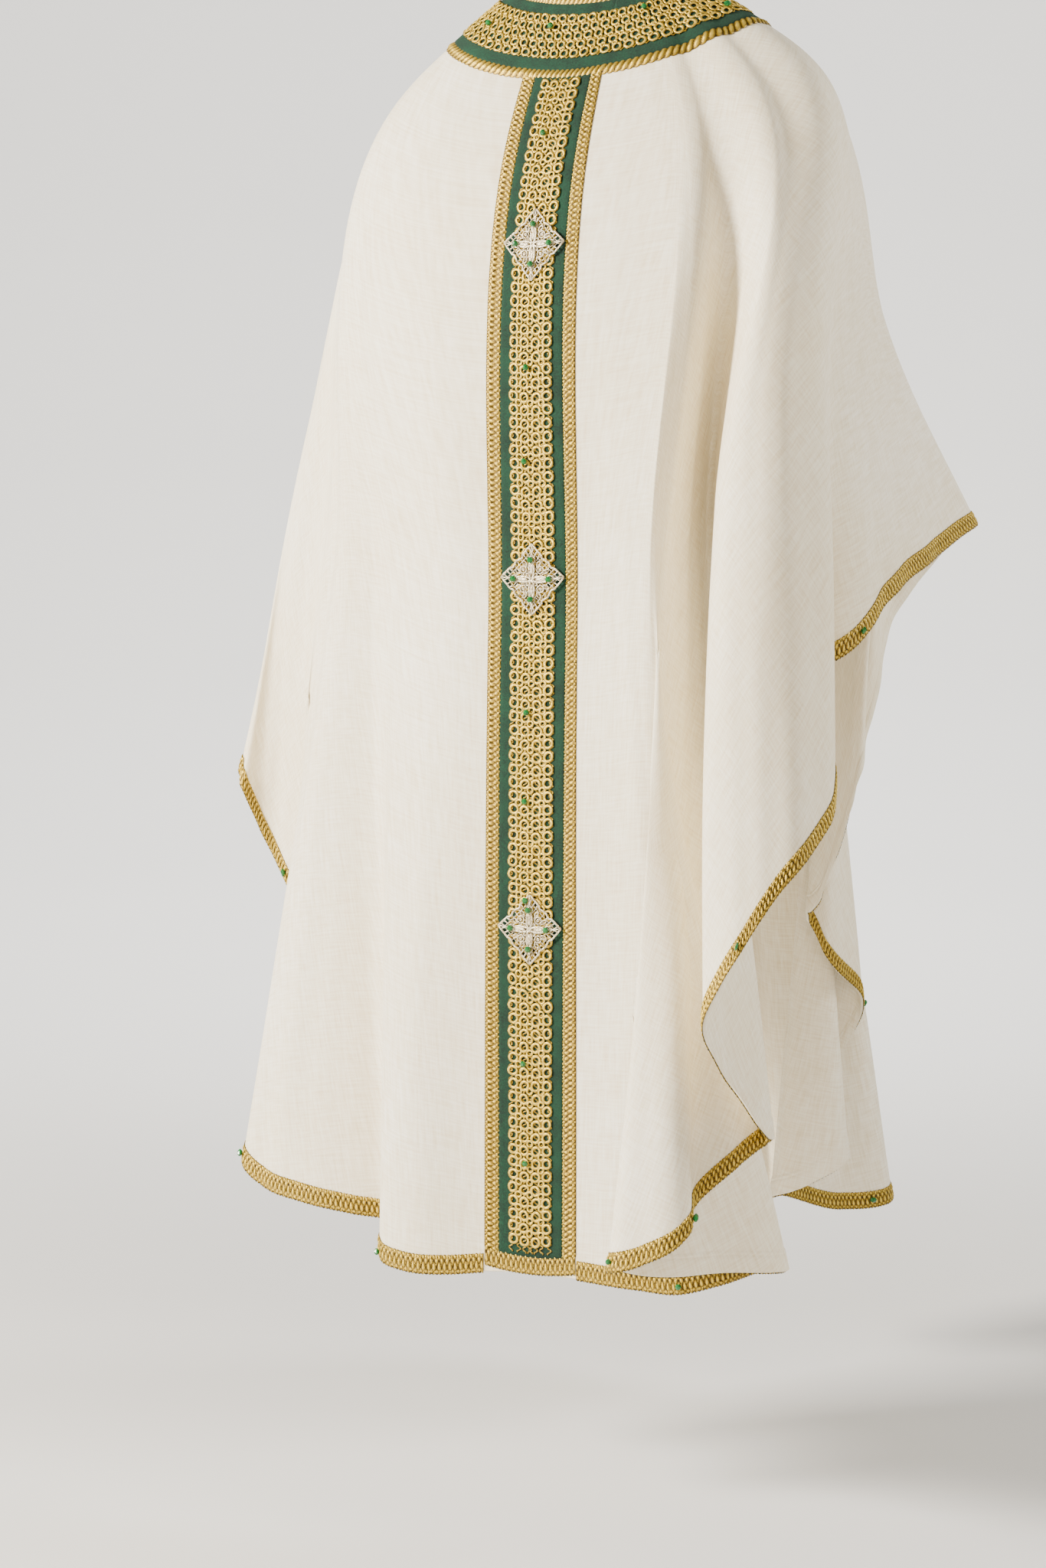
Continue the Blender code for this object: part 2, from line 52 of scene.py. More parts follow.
BACK_FOLDS = (
    ("left arm tip", -105, -8, 290, -120, -330, 280, -290, -535),
    ("left arm edge front", -102, -11, 312, -95, -345, 325, -230, -565),
    ("left arm edge middle", -99, -14, 326, -70, -365, 372, -150, -615),
    ("left arm edge back", -95.5, -17, 337, -40, -385, 405, -50, -695),
    ("left arm side", -92, -18, 343, -8, -405, 412, 25, -776),
    ("left arm back", -88, -18, 342, 8, -430, 392, 18, -842),
    ("left arm fold", -85, -18, 335, 15, -455, 368, 15, -888),
    ("left hollow top", -82, -18, 322, 18, -485, 332, 27, -936),
    ("left hollow", -79, -17, 310, 24, -515, 302, 50, -992),
    ("left hollow foot", -76, -15, 302, 38, -542, 316, 84, -1070),
    ("outer left ridge", -73, -11, 290, 48, -565, 362, 98, -1163),
    ("outer left face", -69, -8, 275, 66, -578, 330, 130, -1188),
    ("outer left middle", -65, -6, 262, 76, -585, 275, 132, -1200),
    ("outer left back", -61, -5, 245, 78, -590, 222, 122, -1209),
    ("left valley", -56, -5, 226, 76, -594, 180, 104, -1217),
    ("left valley side", -49, 0, 195, 98, -600, 168, 135, -1229),
    ("inner left ridge", -42, 4, 162, 124, -603, 167, 166, -1239),
    ("inner left face", -33, 4, 122, 140, -606, 137, 176, -1246),
    ("left of orphrey", -23, 2, 82, 146, -608, 86, 166, -1247),
    ("orphrey left", -11.4, 0, 50, 148, -609, 50.5, 156, -1243),
    ("centre back", 0, 0, 0, 148, -610, 0, 153, -1240),
    ("orphrey right", 11.4, 0, -50, 148, -606, -50.5, 153, -1240),
    ("right of orphrey", 21, 4, -81, 153, -597, -117, 159, -1241),
    ("under fold middle", 27, 8, -107, 159, -588, -162, 159, -1242),
    ("under fold side", 31.5, 9, -125, 161, -583, -192, 138, -1234),
    ("under fold turn", 33.5, 10, -133, 159, -581, -240, 69, -1225),
    ("inside face", 34.8, 10, -136, 157, -579, -206, 159, -1215),
    ("inside face end", 35.7, 10, -138, 154, -577, -160, 213, -1213),
    ("first fold edge", 36.6, 9, -140, 150, -575, -122, 235, -1207),
    ("first fold face", 38.4, 6, -142, 141, -568, -166, 241, -1195),
    ("first fold belly", 39.7, 3, -144, 123, -560, -200, 224, -1173),
    ("first fold dip", 41.3, -2, -143, 98, -551, -198, 196, -1144),
    ("first fold side", 43, -4, -143, 73, -540, -227, 171, -1111),
    ("deep valley", 45.6, -2, -149, 64, -526, -254, 140, -1085),
    ("deep valley side", 48.5, 8, -172, 103, -508, -236, 200, -1026),
    ("great fold edge", 51.5, 18, -193, 149, -486, -227, 243, -970),
    ("great fold face", 56.5, 16, -223, 167, -447, -267, 251, -893),
    ("great fold middle", 62, 2, -253, 152, -419, -301, 217, -828),
    ("great fold side", 70, 8, -269, 110, -398, -312, 161, -788),
    ("great fold back", 80, 6, -269, 59, -379, -296, 102, -740),
    ("arm hollow", 86, 0, -250, 24, -362, -256, 66, -687),
    ("arm hollow turn", 90, -2, -242, 6, -350, -236, 48, -659),
    ("arm fold", 92, 0, -245, -3, -344, -241, 23, -647),
    ("right arm back", 95, 0, -249, -13, -337, -259, 11, -639),
    ("right arm side", 98, -2, -255, -41, -323, -277, -68, -586),
    ("right arm edge", 102, -4, -257, -72, -312, -284, -180, -545),
    ("right arm tip", 105, -6, -258, -102, -310, -280, -290, -517),
)
FRONT_RIGHT_FOLDS = (
    ("inner edge top", 109, -4, -250, -125, -330, -240, -303, -543),
    ("inner edge", 112, -2, -236, -142, -355, -205, -285, -592),
    ("inner edge foot", 115, 0, -222, -160, -385, -190, -252, -680),
    ("cascade one", 118, 0, -210, -180, -415, -176, -238, -773),
    ("cascade one side", 122, 0, -180, -198, -455, -154, -241, -855),
    ("cascade one turn", 126, 0, -158, -208, -495, -117, -246, -924),
    ("cascade two", 130, 0, -148, -216, -525, -128, -273, -977),
    ("cascade two turn", 134, 0, -142, -224, -550, -138, -351, -1036),
    ("cascade two inside", 138, 0, -132, -236, -570, -101, -354, -1100),
    ("cascade three turn", 142, 0, -122, -246, -590, -80, -322, -1142),
    ("cascade three edge", 146, 0, -112, -266, -608, -131, -327, -1199),
    ("cascade three inside", 150, 0, -104, -275, -622, -106, -284, -1221),
    ("cascade four turn", 154, 0, -96, -284, -632, -60, -283, -1240),
    ("cascade four face", 158, 2, -92, -300, -642, -92, -401, -1272),
    ("front fold edge", 162, 4, -90, -312, -650, -139, -458, -1267),
    ("front fold face", 166, 4, -76, -322, -655, -120, -478, -1264),
    ("front valley", 171, 0, -50, -326, -660, -80, -462, -1270),
    ("front ridge", 175.5, 2, -25, -322, -662, -40, -470, -1276),
)
CENTRE_FRONT = ("centre front", 180, 0, 0, -328, -664, 0, -462, -1278)
FRONT_LEFT_FOLDS = (
    ("left ridge one", 185, 2, 36, -340, -664, 66, -502, -1276),
    ("left hollow one", 190, 0, 62, -300, -662, 86, -420, -1270),
    ("left ridge two", 196, 3, 100, -338, -656, 148, -482, -1260),
    ("left hollow two", 202, 0, 118, -280, -646, 148, -374, -1244),
    ("left ridge three", 209, 3, 162, -310, -630, 220, -424, -1212),
    ("left hollow three", 216, 0, 166, -246, -606, 200, -322, -1160),
    ("left ridge four", 224, 2, 208, -256, -568, 258, -346, -1080),
    ("left hollow four", 232, 0, 214, -206, -516, 246, -286, -970),
    ("left ridge five", 239, -2, 236, -186, -462, 250, -268, -850),
    ("left edge foot", 245, -4, 254, -160, -405, 240, -262, -720),
    ("left edge middle", 249, -5, 268, -145, -370, 236, -270, -630),
    ("left edge top", 252, -7, 280, -132, -348, 250, -292, -566),
)



def smooth(at, values, where):
    """A curve with no corner through values at the places at: cubic pieces, parabola slopes."""
    step = np.diff(at)
    slope = np.diff(values, axis=0) / step[:, None]
    weight = (step[1:] / (step[:-1] + step[1:]))[:, None]
    inner = slope[:-1] * weight + slope[1:] * (1 - weight)
    tangent = np.concatenate([slope[:1], inner, slope[-1:]])
    k = np.clip(np.searchsorted(at, where, side="right") - 1, 0, len(step) - 1)
    h = step[k][:, None]
    t = (where[:, None] - at[k][:, None]) / h
    rise = 3 * t ** 2 - 2 * t ** 3
    return (values[k] * (1 - rise) + values[k + 1] * rise
            + h * tangent[k] * (t - 2 * t ** 2 + t ** 3) + h * tangent[k + 1] * (t ** 3 - t ** 2))


def falls(knots, pieces=48):
    """The same cubic carried down every ray at once, through its four points."""
    step = np.linalg.norm(np.diff(knots, axis=1), axis=2)[..., None]
    slope = np.diff(knots, axis=1) / step
    weight = step[:, 1:] / (step[:, :-1] + step[:, 1:])
    inner = slope[:, :-1] * weight + slope[:, 1:] * (1 - weight)
    tangent = np.concatenate([slope[:, :1], inner, slope[:, -1:]], axis=1)[:, :, None]
    t = np.linspace(0, 1, pieces, endpoint=False)[:, None]
    rise, h = 3 * t ** 2 - 2 * t ** 3, step[:, :, None]
    line = (knots[:, :-1, None] * (1 - rise) + knots[:, 1:, None] * rise
            + h * tangent[:, :-1] * (t - 2 * t ** 2 + t ** 3) + h * tangent[:, 1:] * (t ** 3 - t ** 2))
    return np.concatenate([line.reshape(len(knots), -1, 3), knots[:, -1:]], axis=1)


def ring_point(bearing, half_width, back, front, side_z, back_z, front_z, relief):
    """A point on an oval round the neck, at a bearing in radians from the centre back."""
    s, c = np.sin(bearing), np.cos(bearing)
    depth = np.where(c > 0, back, front)
    end_z = np.where(c > 0, back_z, front_z)
    out = 1 + relief / half_width
    return np.stack([-half_width * out * s, depth * out * c,
                     side_z + (end_z - side_z) * c ** 2], axis=-1)


def rounded(names, table):
    """The closed table with each tight turn of the hem opened into a round end of two rays."""
    hem = table[:, 5:8]
    before, after = np.roll(table, 1, axis=0), np.roll(table, -1, axis=0)
    before[0, 0] -= 360
    after[-1, 0] += 360
    behind, ahead = (hem - before[:, 5:8])[:, :2], (after[:, 5:8] - hem)[:, :2]
    cosine = (behind * ahead).sum(-1) / np.linalg.norm(behind, axis=-1) / np.linalg.norm(ahead, axis=-1)
    new_names, rows = [], []
    for k, name in enumerate(names):
        if cosine[k] > np.cos(np.radians(TIGHT_TURN)):
            new_names.append(name)
            rows.append(table[k])
            continue
        across = after[k, 5:8] - before[k, 5:8]
        across[2] = 0
        across *= FOLD_RADIUS / MM / np.linalg.norm(across)
        for neighbour, side in ((before[k], -1), (after[k], 1)):
            row = table[k] + (neighbour - table[k]) * TURN_SHARE
            row[5:8] = hem[k] + side * across
            new_names.append(name if side < 0 else name + ", far side")
            rows.append(row)
    return new_names, np.array(rows)


ring = BACK_FOLDS + FRONT_RIGHT_FOLDS + (CENTRE_FRONT,) + FRONT_LEFT_FOLDS
ray_names, ray_table = rounded([row[0] for row in ring], np.array([row[1:] for row in ring], float))
hem_step = np.linalg.norm(np.roll(ray_table[:, 5:8], -1, axis=0) - ray_table[:, 5:8], axis=1) * MM
ray_places = np.concatenate([[0], np.cumsum(hem_step)])
ROUND = ray_places[-1]
place = dict(zip(ray_names, ray_places))
COLUMNS, ROWS, SOFT_COLUMNS = 2200, 280, 11
u_line = np.arange(COLUMNS) / COLUMNS * ROUND
turn = np.array([360.0] + [0.0] * 7)
values = smooth(np.concatenate([ray_places[-3:-1] - ROUND, ray_places[:-1], ray_places[:2] + ROUND]),
                np.concatenate([ray_table[-2:] - turn, ray_table, ray_table[:2] + turn]), u_line)
bearing, relief = values[:, 0], values[:, 1] * MM
size = np.abs(bearing)
spread = NECK_ORPHREY + (size - ORPHREY_BEARING) * (90 - NECK_ORPHREY) / (90 - ORPHREY_BEARING)
fan = np.where(size < ORPHREY_BEARING, size * NECK_ORPHREY / ORPHREY_BEARING,
               np.where(size < 90, spread, size)) * np.sign(bearing)
rays = falls(np.stack([
    ring_point(np.radians(fan), NECK_HALF_WIDTH, NECK_BACK, NECK_FRONT,
               NECK_SIDE_Z, NECK_BACK_Z, NECK_FRONT_Z, 0.0),
    ring_point(np.radians(bearing), SHOULDER_HALF_WIDTH, SHOULDER_BACK, SHOULDER_FRONT,
               SHOULDER_SIDE_Z, SHOULDER_BACK_Z, SHOULDER_FRONT_Z, relief),
    values[:, 2:5] * MM, values[:, 5:8] * MM], axis=1))


def evened(lines, rows):
    """Every line cut into equal steps: one long table of distances, read for all lines at once."""
    run = np.concatenate([np.zeros((len(lines), 1)),
                          np.cumsum(np.linalg.norm(np.diff(lines, axis=1), axis=2), axis=1)], axis=1)
    shift = np.arange(len(lines))[:, None] * 10.0
    wanted = run[:, -1:] * np.linspace(0, 1, rows) + shift
    even = [np.interp(wanted, (run + shift).ravel(), lines[..., a].ravel()) for a in range(3)]
    return np.stack(even, axis=-1).transpose(1, 0, 2), run[:, -1]


def facing(grid):
    """Unit normals of the closed grid, away from the body."""
    along = np.roll(grid, -1, axis=1) - np.roll(grid, 1, axis=1)
    normal = np.cross(np.gradient(grid, axis=0), along)
    return normal / np.linalg.norm(normal, axis=-1, keepdims=True)


def creases(below, around):
    """Height of the small uneven creases: waves round the hem, drifting as they fall."""
    draw = np.random.default_rng(41)
    height = np.zeros(np.broadcast(below, around).shape)
    for waves in (23, 31, 43, 58, 71, 97, 131):
        drift = draw.uniform(0.3, 1.5) * np.sin(2 * np.pi * (below / draw.uniform(0.7, 1.3) + draw.uniform()))
        phase = around / ROUND * draw.integers(3, 9) + draw.uniform() + below
        patch = 0.6 + 0.4 * np.sin(2 * np.pi * phase)
        height += np.sin(2 * np.pi * (around / ROUND * waves + draw.uniform()) + drift) * patch * 46 / waves
    shoulder = np.clip((below - 0.12) / 0.45, 0, 1)
    centre = np.abs(around - place["centre back"])
    flat_back = 1 - 0.85 * np.exp(-(centre / 0.085) ** 4)
    return height * (0.25 + 0.75 * shoulder) * np.clip((below - 0.05) / 0.08, 0, 1) * flat_back * 1.4 * MM


cloth, fall = evened(rays, ROWS)
below_line = fall * np.linspace(0, 1, ROWS)[:, None]
# Where the rays crowd together the folds are softened, and the creases fade out.
beside = np.roll(cloth, -1, axis=1) - np.roll(cloth, 1, axis=1)
gathered = np.linalg.norm(beside, axis=2) * COLUMNS / ROUND / 2
waves = np.fft.rfftfreq(COLUMNS)[:, None]
softening = np.exp(-2 * (np.pi * waves * SOFT_COLUMNS) ** 2)
softened = np.fft.irfft(np.fft.rfft(cloth, axis=1) * softening, COLUMNS, axis=1)
squeezed = np.clip(1.25 - gathered, 0, 1)[..., None]
cloth = cloth + (softened - cloth) * squeezed
cloth = cloth + facing(cloth) * (creases(below_line, u_line) * np.clip(gathered * 1.4 - 0.3, 0, 1))[..., None]
cloth_normal = facing(cloth)
swing = np.cumsum(np.linalg.norm(np.roll(cloth[-1], -1, axis=0) - cloth[-1], axis=1) / (fall + 0.1))


def on_cloth(around, below, lift):
    """Points on the drape: place round the hem, distance below the neckline, height off the
    cloth, all in metres. Four neighbours of the grid are blended, and past the hem it runs on."""
    around, below, lift = np.broadcast_arrays(around, below, lift)
    column = (around / ROUND * COLUMNS) % COLUMNS
    left = np.floor(column).astype(int) % COLUMNS
    right, x = (left + 1) % COLUMNS, (column - np.floor(column))
    length = fall[left] * (1 - x) + fall[right] * x
    row = below / length * (ROWS - 1)
    top = np.clip(np.floor(row).astype(int), 0, ROWS - 2)
    x, y = x[..., None], (row - top)[..., None]

    def blend(grid):
        return ((grid[top, left] * (1 - x) + grid[top, right] * x) * (1 - y)
                + (grid[top + 1, left] * (1 - x) + grid[top + 1, right] * x) * y)

    normal = blend(cloth_normal)
    return blend(cloth) + normal / np.linalg.norm(normal, axis=-1, keepdims=True) * lift[..., None]


def length_at(around):
    """Distance from the neckline to the hem at a place round the hem."""
    return np.interp(np.asarray(around) % ROUND, u_line, fall, period=ROUND)


# Ivory cloth: slubbed linen and wool twill, undyed, woven on one wide loom and cut as half ovals.
# Each panel is one wall 1.8 mm thick with its hem turned up 20 mm inside and stitched.
CLOTH, HEM_TURNING, TURNED_UP, SEAM_HALF = 1.8 * MM, 2.7 * MM, 20 * MM, 0.15 * MM
THREAD, SLUB = 2.1 * MM, 34 * MM


def linear(hex_colour):
    """An sRGB hex colour as linear red, green, blue and alpha."""
    parts = np.array([int(hex_colour[i:i + 2], 16) for i in (1, 3, 5)]) / 255
    parts = np.where(parts <= 0.04045, parts / 12.92, ((parts + 0.055) / 1.055) ** 2.4)
    return (*parts.tolist(), 1.0)


def add(tree, kind, inputs, **settings):
    """One node: its settings, then its inputs, each a value or another node's output."""
    node = tree.nodes.new(kind)
    for name, value in settings.items():
        setattr(node, name, value)
    for name, value in inputs.items():
        if isinstance(value, bpy.types.NodeSocket):
            tree.links.new(value, node.inputs[name])
        else:
            node.inputs[name].default_value = value
    return node


def new_finish(name):
    """A material with its surface shader, whose values the caller sets."""
    made = bpy.data.materials.new(name)
    made.use_nodes = True
    return made, made.node_tree, made.node_tree.nodes["Principled BSDF"]


def woven_ivory():
    """Linen and wool twill. Uneven threads both ways catch light as fine streaks, with thicker
    slubs, and the surface is matt with a little nap. Real threads are 0.7 mm apart; they are
    drawn 2.1 mm apart so that they show."""
    made, tree, shader = new_finish("ivory slubbed twill")
    flat = add(tree, "ShaderNodeUVMap", {}, uv_map="cut")
    threads = {}
    for way, scale in (("warp", (1 / THREAD, 1 / SLUB, 1)), ("weft", (1 / SLUB, 1 / THREAD, 1))):
        stretched = add(tree, "ShaderNodeMapping", {"Vector": flat.outputs[0], "Scale": scale})
        threads[way] = add(tree, "ShaderNodeTexNoise",
                           {"Vector": stretched.outputs[0], "Scale": 1.0, "Detail": 2.0, "Roughness": 0.6})
    twill_place = add(tree, "ShaderNodeMapping", {
        "Vector": flat.outputs[0], "Rotation": (0, 0, np.radians(38)),
        "Scale": (1 / (4 * MM), 1 / (34 * MM), 1)})
    twill = add(tree, "ShaderNodeTexNoise", {"Vector": twill_place.outputs[0], "Scale": 1.0, "Detail": 3.0})
    both = add(tree, "ShaderNodeMath", {0: threads["warp"].outputs["Fac"], 1: threads["weft"].outputs["Fac"]},
               operation="ADD")
    twill_share = add(tree, "ShaderNodeMath", {0: twill.outputs["Fac"], 1: 0.24}, operation="MULTIPLY")
    weave = add(tree, "ShaderNodeMath", {0: both.outputs[0], 1: 0.38, 2: twill_share.outputs[0]},
                operation="MULTIPLY_ADD")
    tone = add(tree, "ShaderNodeValToRGB", {"Fac": weave.outputs[0]})
    tone.color_ramp.elements[0].position, tone.color_ramp.elements[0].color = 0.36, linear("#E8DCC0")
    tone.color_ramp.elements[1].position, tone.color_ramp.elements[1].color = 0.6, linear("#FDF9EC")
    body = add(tree, "ShaderNodeTexCoord", {})
    cloud = add(tree, "ShaderNodeTexNoise", {"Vector": body.outputs["Object"], "Scale": 5.0, "Detail": 1.0})
    aged = add(tree, "ShaderNodeMix", {"Factor": cloud.outputs["Fac"], 6: tone.outputs["Color"],
                                       7: linear("#F6EFDD")}, data_type="RGBA", blend_type="MULTIPLY")
    relief = add(tree, "ShaderNodeBump", {"Height": weave.outputs[0], "Strength": 0.6, "Distance": 0.5 * MM})
    tree.links.new(aged.outputs[2], shader.inputs["Base Color"])
    tree.links.new(relief.outputs[0], shader.inputs["Normal"])
    shader.inputs["Roughness"].default_value = 0.82
    shader.inputs["IOR"].default_value = 1.45
    shader.inputs["Sheen Weight"].default_value = 0.2
    shader.inputs["Sheen Roughness"].default_value = 0.45
    shader.inputs["Sheen Tint"].default_value = linear("#FFF6E4")
    return made


def put_in_scene(name, points, faces, finish, flat=None, shade=None, smooth_faces=True):
    """One named object from its points and its faces, in groups of one size, with the cut's plan
    as a UV map and a painted shade from 0 in the gaps to 1 on the crests, where they are given:
    the attribute paints shade into the hollows and a highlight onto the tops."""
    groups = faces if isinstance(faces, list) else [faces]
    corners = np.concatenate([group.ravel() for group in groups]).astype(np.int32)
    sizes = np.concatenate([np.full(len(group), group.shape[1]) for group in groups])
    mesh = bpy.data.meshes.new(name)
    mesh.vertices.add(len(points))
    mesh.vertices.foreach_set("co", points.astype(np.float32).ravel())
    mesh.loops.add(len(corners))
    mesh.loops.foreach_set("vertex_index", corners)
    mesh.polygons.add(len(sizes))
    mesh.polygons.foreach_set("loop_start", np.concatenate([[0], np.cumsum(sizes)[:-1]]).astype(np.int32))
    mesh.polygons.foreach_set("use_smooth", np.full(len(sizes), smooth_faces))
    mesh.update(calc_edges=True)
    if flat is not None:
        mesh.uv_layers.new(name="cut").data.foreach_set("uv", flat[corners].astype(np.float32).ravel())
    # The attribute is painted light: 0 is painted shade in gaps and underneath, 1 a painted highlight on the
    # tops.
    if shade is not None:
        painted_crest_light = mesh.attributes.new("painted_crest_light", "FLOAT", "POINT")
        painted_crest_light.data.foreach_set("value", shade.astype(np.float32).ravel())
    mesh.validate()
    mesh.materials.append(finish)
    piece = bpy.data.objects.new(name, mesh)
    bpy.context.scene.collection.objects.link(piece)
    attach(piece, "root")
    return piece


def quads(number):
    """The quads of a grid of point numbers, facing out where rows fall and columns run round."""
    return np.stack([number[:-1, :-1], number[1:, :-1], number[1:, 1:], number[:-1, 1:]], -1).reshape(-1, 4)


def shell(outer, inner):
    """Points and quads of a closed wall between two grids."""
    number = np.arange(outer.shape[0] * outer.shape[1]).reshape(outer.shape[:2])
    shift = number.size

    def rim(line):
        return np.stack([line[:-1], line[1:], line[1:] + shift, line[:-1] + shift], -1)

    faces = [quads(number), quads(number)[:, ::-1] + shift, rim(number[0]), rim(number[-1][::-1]),
             rim(number[::-1, 0]), rim(number[:, -1])]
    return np.concatenate([outer.reshape(-1, 3), inner.reshape(-1, 3)]), np.concatenate(faces)


def spaced(start, end, count):
    """Places round the hem from start to end, closer where the hem turns sharply."""
    line = np.linspace(start, end, 3000)
    hem = on_cloth(line, length_at(line), 0.0)
    heading = np.unwrap(np.arctan2(*np.gradient(hem[:, :2], axis=0).T))
    density = 1 + np.clip(np.abs(np.gradient(heading, line)) / 14, 0, 3.2)
    density = np.convolve(np.pad(density, 20, mode="edge"), np.ones(41) / 41, mode="valid")
    done = np.concatenate([[0], np.cumsum((density[1:] + density[:-1]) / 2)])
    inside = np.interp(np.linspace(0, done[-1], count), done, line)
    rims = (inside[0] + SEAM_HALF, inside[0] + 1.2 * MM, inside[-1] - 1.2 * MM, inside[-1] - SEAM_HALF)
    return np.concatenate([rims[:2], inside[1:-1], rims[2:]])


def panel(name, start, end, middle, count, rows, finish):
    """A cloth panel: rows of equal share down each ray, then the stitched turning at the hem."""
    around = spaced(start, end, count)
    length = length_at(around)
    share = np.linspace(0, 1, rows)[1:, None] ** 1.06
    body = 1.2 * MM + share * (length - TURNED_UP - 3.4 * MM)
    top = np.zeros((2, len(around)))
    top[1] = 1.2 * MM
    turned = length - np.array([21.2, 19.6, 17.8, 17.0, 16.2, 12.0, 5.0, 1.2, 0.0])[:, None] * MM
    below = np.concatenate([top, body, turned])
    depth = np.full(below.shape, CLOTH)
    depth[-8:] = HEM_TURNING
    depth[-6] = HEM_TURNING - 0.5 * MM
    outer, inner = on_cloth(around, below, 0.0), on_cloth(around, below, -depth)
    angle = np.interp(around, np.concatenate([u_line, u_line + ROUND]),
                      np.concatenate([swing, swing + swing[-1]]))
    angle = angle - np.interp(middle, u_line, swing)
    flat = np.stack([(below + 0.1) * np.sin(angle), (below + 0.1) * np.cos(angle)], -1).reshape(-1, 2)
    points, faces = shell(outer, inner)
    return put_in_scene(name, points, faces, finish, flat=np.concatenate([flat, flat + 0.37]))


left_tip, right_tip = place["left arm tip"], place["right arm tip"]
ivory = woven_ivory()
cloth_back = panel("cloth_back", left_tip, right_tip, place["centre back"], 400, 96, ivory)
cloth_front = panel("cloth_front", right_tip, left_tip + ROUND, place["centre front"], 350, 96, ivory)
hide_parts("back_panel")
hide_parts("front_panel")


# Green velvet: two bands of deep bottle-green cotton velvet, cut on the straight for the orphrey
# down the centre back and in a ring for the yoke, and stitched flat on the cloth.
VELVET_HALF, LACE_HALF, ORPHREY_HALF = 36.0 * MM, 23.5 * MM, 50.5 * MM
VELVET_RISE = 1.3 * MM
YOKE_EDGES = (0.0, 8 * MM, 20 * MM, 70 * MM, 82 * MM, 92 * MM)
HEM_BRAID = 18 * MM


def bottle_green_velvet():
    """Velvet: a dense standing pile, dark when looked into and paler where it turns away, with
    faint brushed patches."""
    made, tree, shader = new_finish("bottle green velvet")
    body = add(tree, "ShaderNodeTexCoord", {})
    brushed = add(tree, "ShaderNodeTexNoise",
                  {"Vector": body.outputs["Object"], "Scale": 38.0, "Detail": 3.0})
    pile = add(tree, "ShaderNodeTexNoise",
               {"Vector": body.outputs["Object"], "Scale": 1 / (1.1 * MM), "Detail": 2.0})
    both = add(tree, "ShaderNodeMath", {0: brushed.outputs["Fac"], 1: 0.6, 2: pile.outputs["Fac"]},
               operation="MULTIPLY_ADD")
    tone = add(tree, "ShaderNodeValToRGB", {"Fac": both.outputs[0]})
    tone.color_ramp.elements[0].position, tone.color_ramp.elements[0].color = 0.55, linear("#02130B")
    tone.color_ramp.elements[1].position, tone.color_ramp.elements[1].color = 1.0, linear("#083A25")
    nap = add(tree, "ShaderNodeBump", {"Height": pile.outputs["Fac"], "Strength": 0.5, "Distance": 0.4 * MM})
    tree.links.new(tone.outputs["Color"], shader.inputs["Base Color"])
    tree.links.new(nap.outputs[0], shader.inputs["Normal"])
    shader.inputs["Roughness"].default_value = 0.95
    shader.inputs["Sheen Weight"].default_value = 0.12
    shader.inputs["Sheen Roughness"].default_value = 0.4
    shader.inputs["Sheen Tint"].default_value = linear("#4E9C74")
    return made


def band(name, around, below, rise, finish, **more):
    """A flat band on the cloth: its face from two broadcast tables of places and distances at a
    rise that falls to the cloth at its edges, closed underneath by the same grid on the cloth."""
    around, below, rise = np.broadcast_arrays(around, below, rise)
    points, faces = shell(on_cloth(around, below, rise), on_cloth(around, below, 0.15 * MM))
    return put_in_scene(name, points, faces, finish, **more)


green = bottle_green_velvet()
centre_back = place["centre back"]
reach = length_at(centre_back)
down = np.linspace(YOKE_EDGES[-1] - 2 * MM, reach - HEM_BRAID + 2 * MM, 260)[:, None]
across = np.linspace(-VELVET_HALF, VELVET_HALF, 25)
velvet_rise = VELVET_RISE * np.where(np.abs(across) > VELVET_HALF - 1 * MM, 0.4, 1.0)
velvet = band("orphrey_green_velvet", centre_back + across, down, velvet_rise, green)
back_trims, front_trims = [], []
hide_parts("orphrey_velvet")

# The yoke's places round the neck are counted by its own middle line, so that its ornament keeps
# one size all the way round.
YOKE_MIDDLE = 45 * MM
yoke_line = on_cloth(u_line, YOKE_MIDDLE, 0.0)
yoke_steps = np.linalg.norm(np.roll(yoke_line, -1, axis=0) - yoke_line, axis=1)
yoke_run = np.concatenate([[0], np.cumsum(yoke_steps)])
YOKE_ROUND = yoke_run[-1]


def round_yoke(along):
    """Place round the hem for a distance along the yoke's middle line."""
    return np.interp(np.asarray(along) % YOKE_ROUND, yoke_run, np.append(u_line, ROUND))


def ring_band(name, along, below, rise, finish, **more):
    """A band that closes on itself round the neck: face, underside and two edges."""
    around, below, rise = np.broadcast_arrays(round_yoke(along), below, rise)
    outer, inner = on_cloth(around, below, rise), on_cloth(around, below, 0.15 * MM)
    number = np.arange(outer.shape[0] * outer.shape[1]).reshape(outer.shape[:2])
    number = np.concatenate([number, number[:, :1]], axis=1)
    shift = outer.shape[0] * outer.shape[1]
    first, last = number[0], number[-1][::-1]
    edges = [np.stack([line[:-1], line[1:], line[1:] + shift, line[:-1] + shift], -1)
             for line in (first, last)]
    faces = np.concatenate([quads(number), quads(number)[:, ::-1] + shift] + edges)
    points = np.concatenate([outer.reshape(-1, 3), inner.reshape(-1, 3)])
    return put_in_scene(name, points, faces, finish, **more)


ring_along = np.arange(640) / 640 * YOKE_ROUND
yoke_below = np.linspace(YOKE_EDGES[1] - 1 * MM, YOKE_EDGES[4] + 1 * MM, 26)[:, None]
yoke_green = ring_band("yoke_green_velvet", ring_along, yoke_below,
                       np.where((yoke_below < 8 * MM) | (yoke_below > 82 * MM), 0.5 * MM, VELVET_RISE), green)
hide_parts("yoke_velvet")

# Gold galloon: flat braid of metallised gimp, worked in close loops with small picots along its
# edges. It covers the hem, both sides and the foot of the orphrey, and both edges of the yoke.
GIMP, KNOT, PICOT = 3.6 * MM, 5.4 * MM, 1.2 * MM
GALLOON_RISE = 1.5 * MM


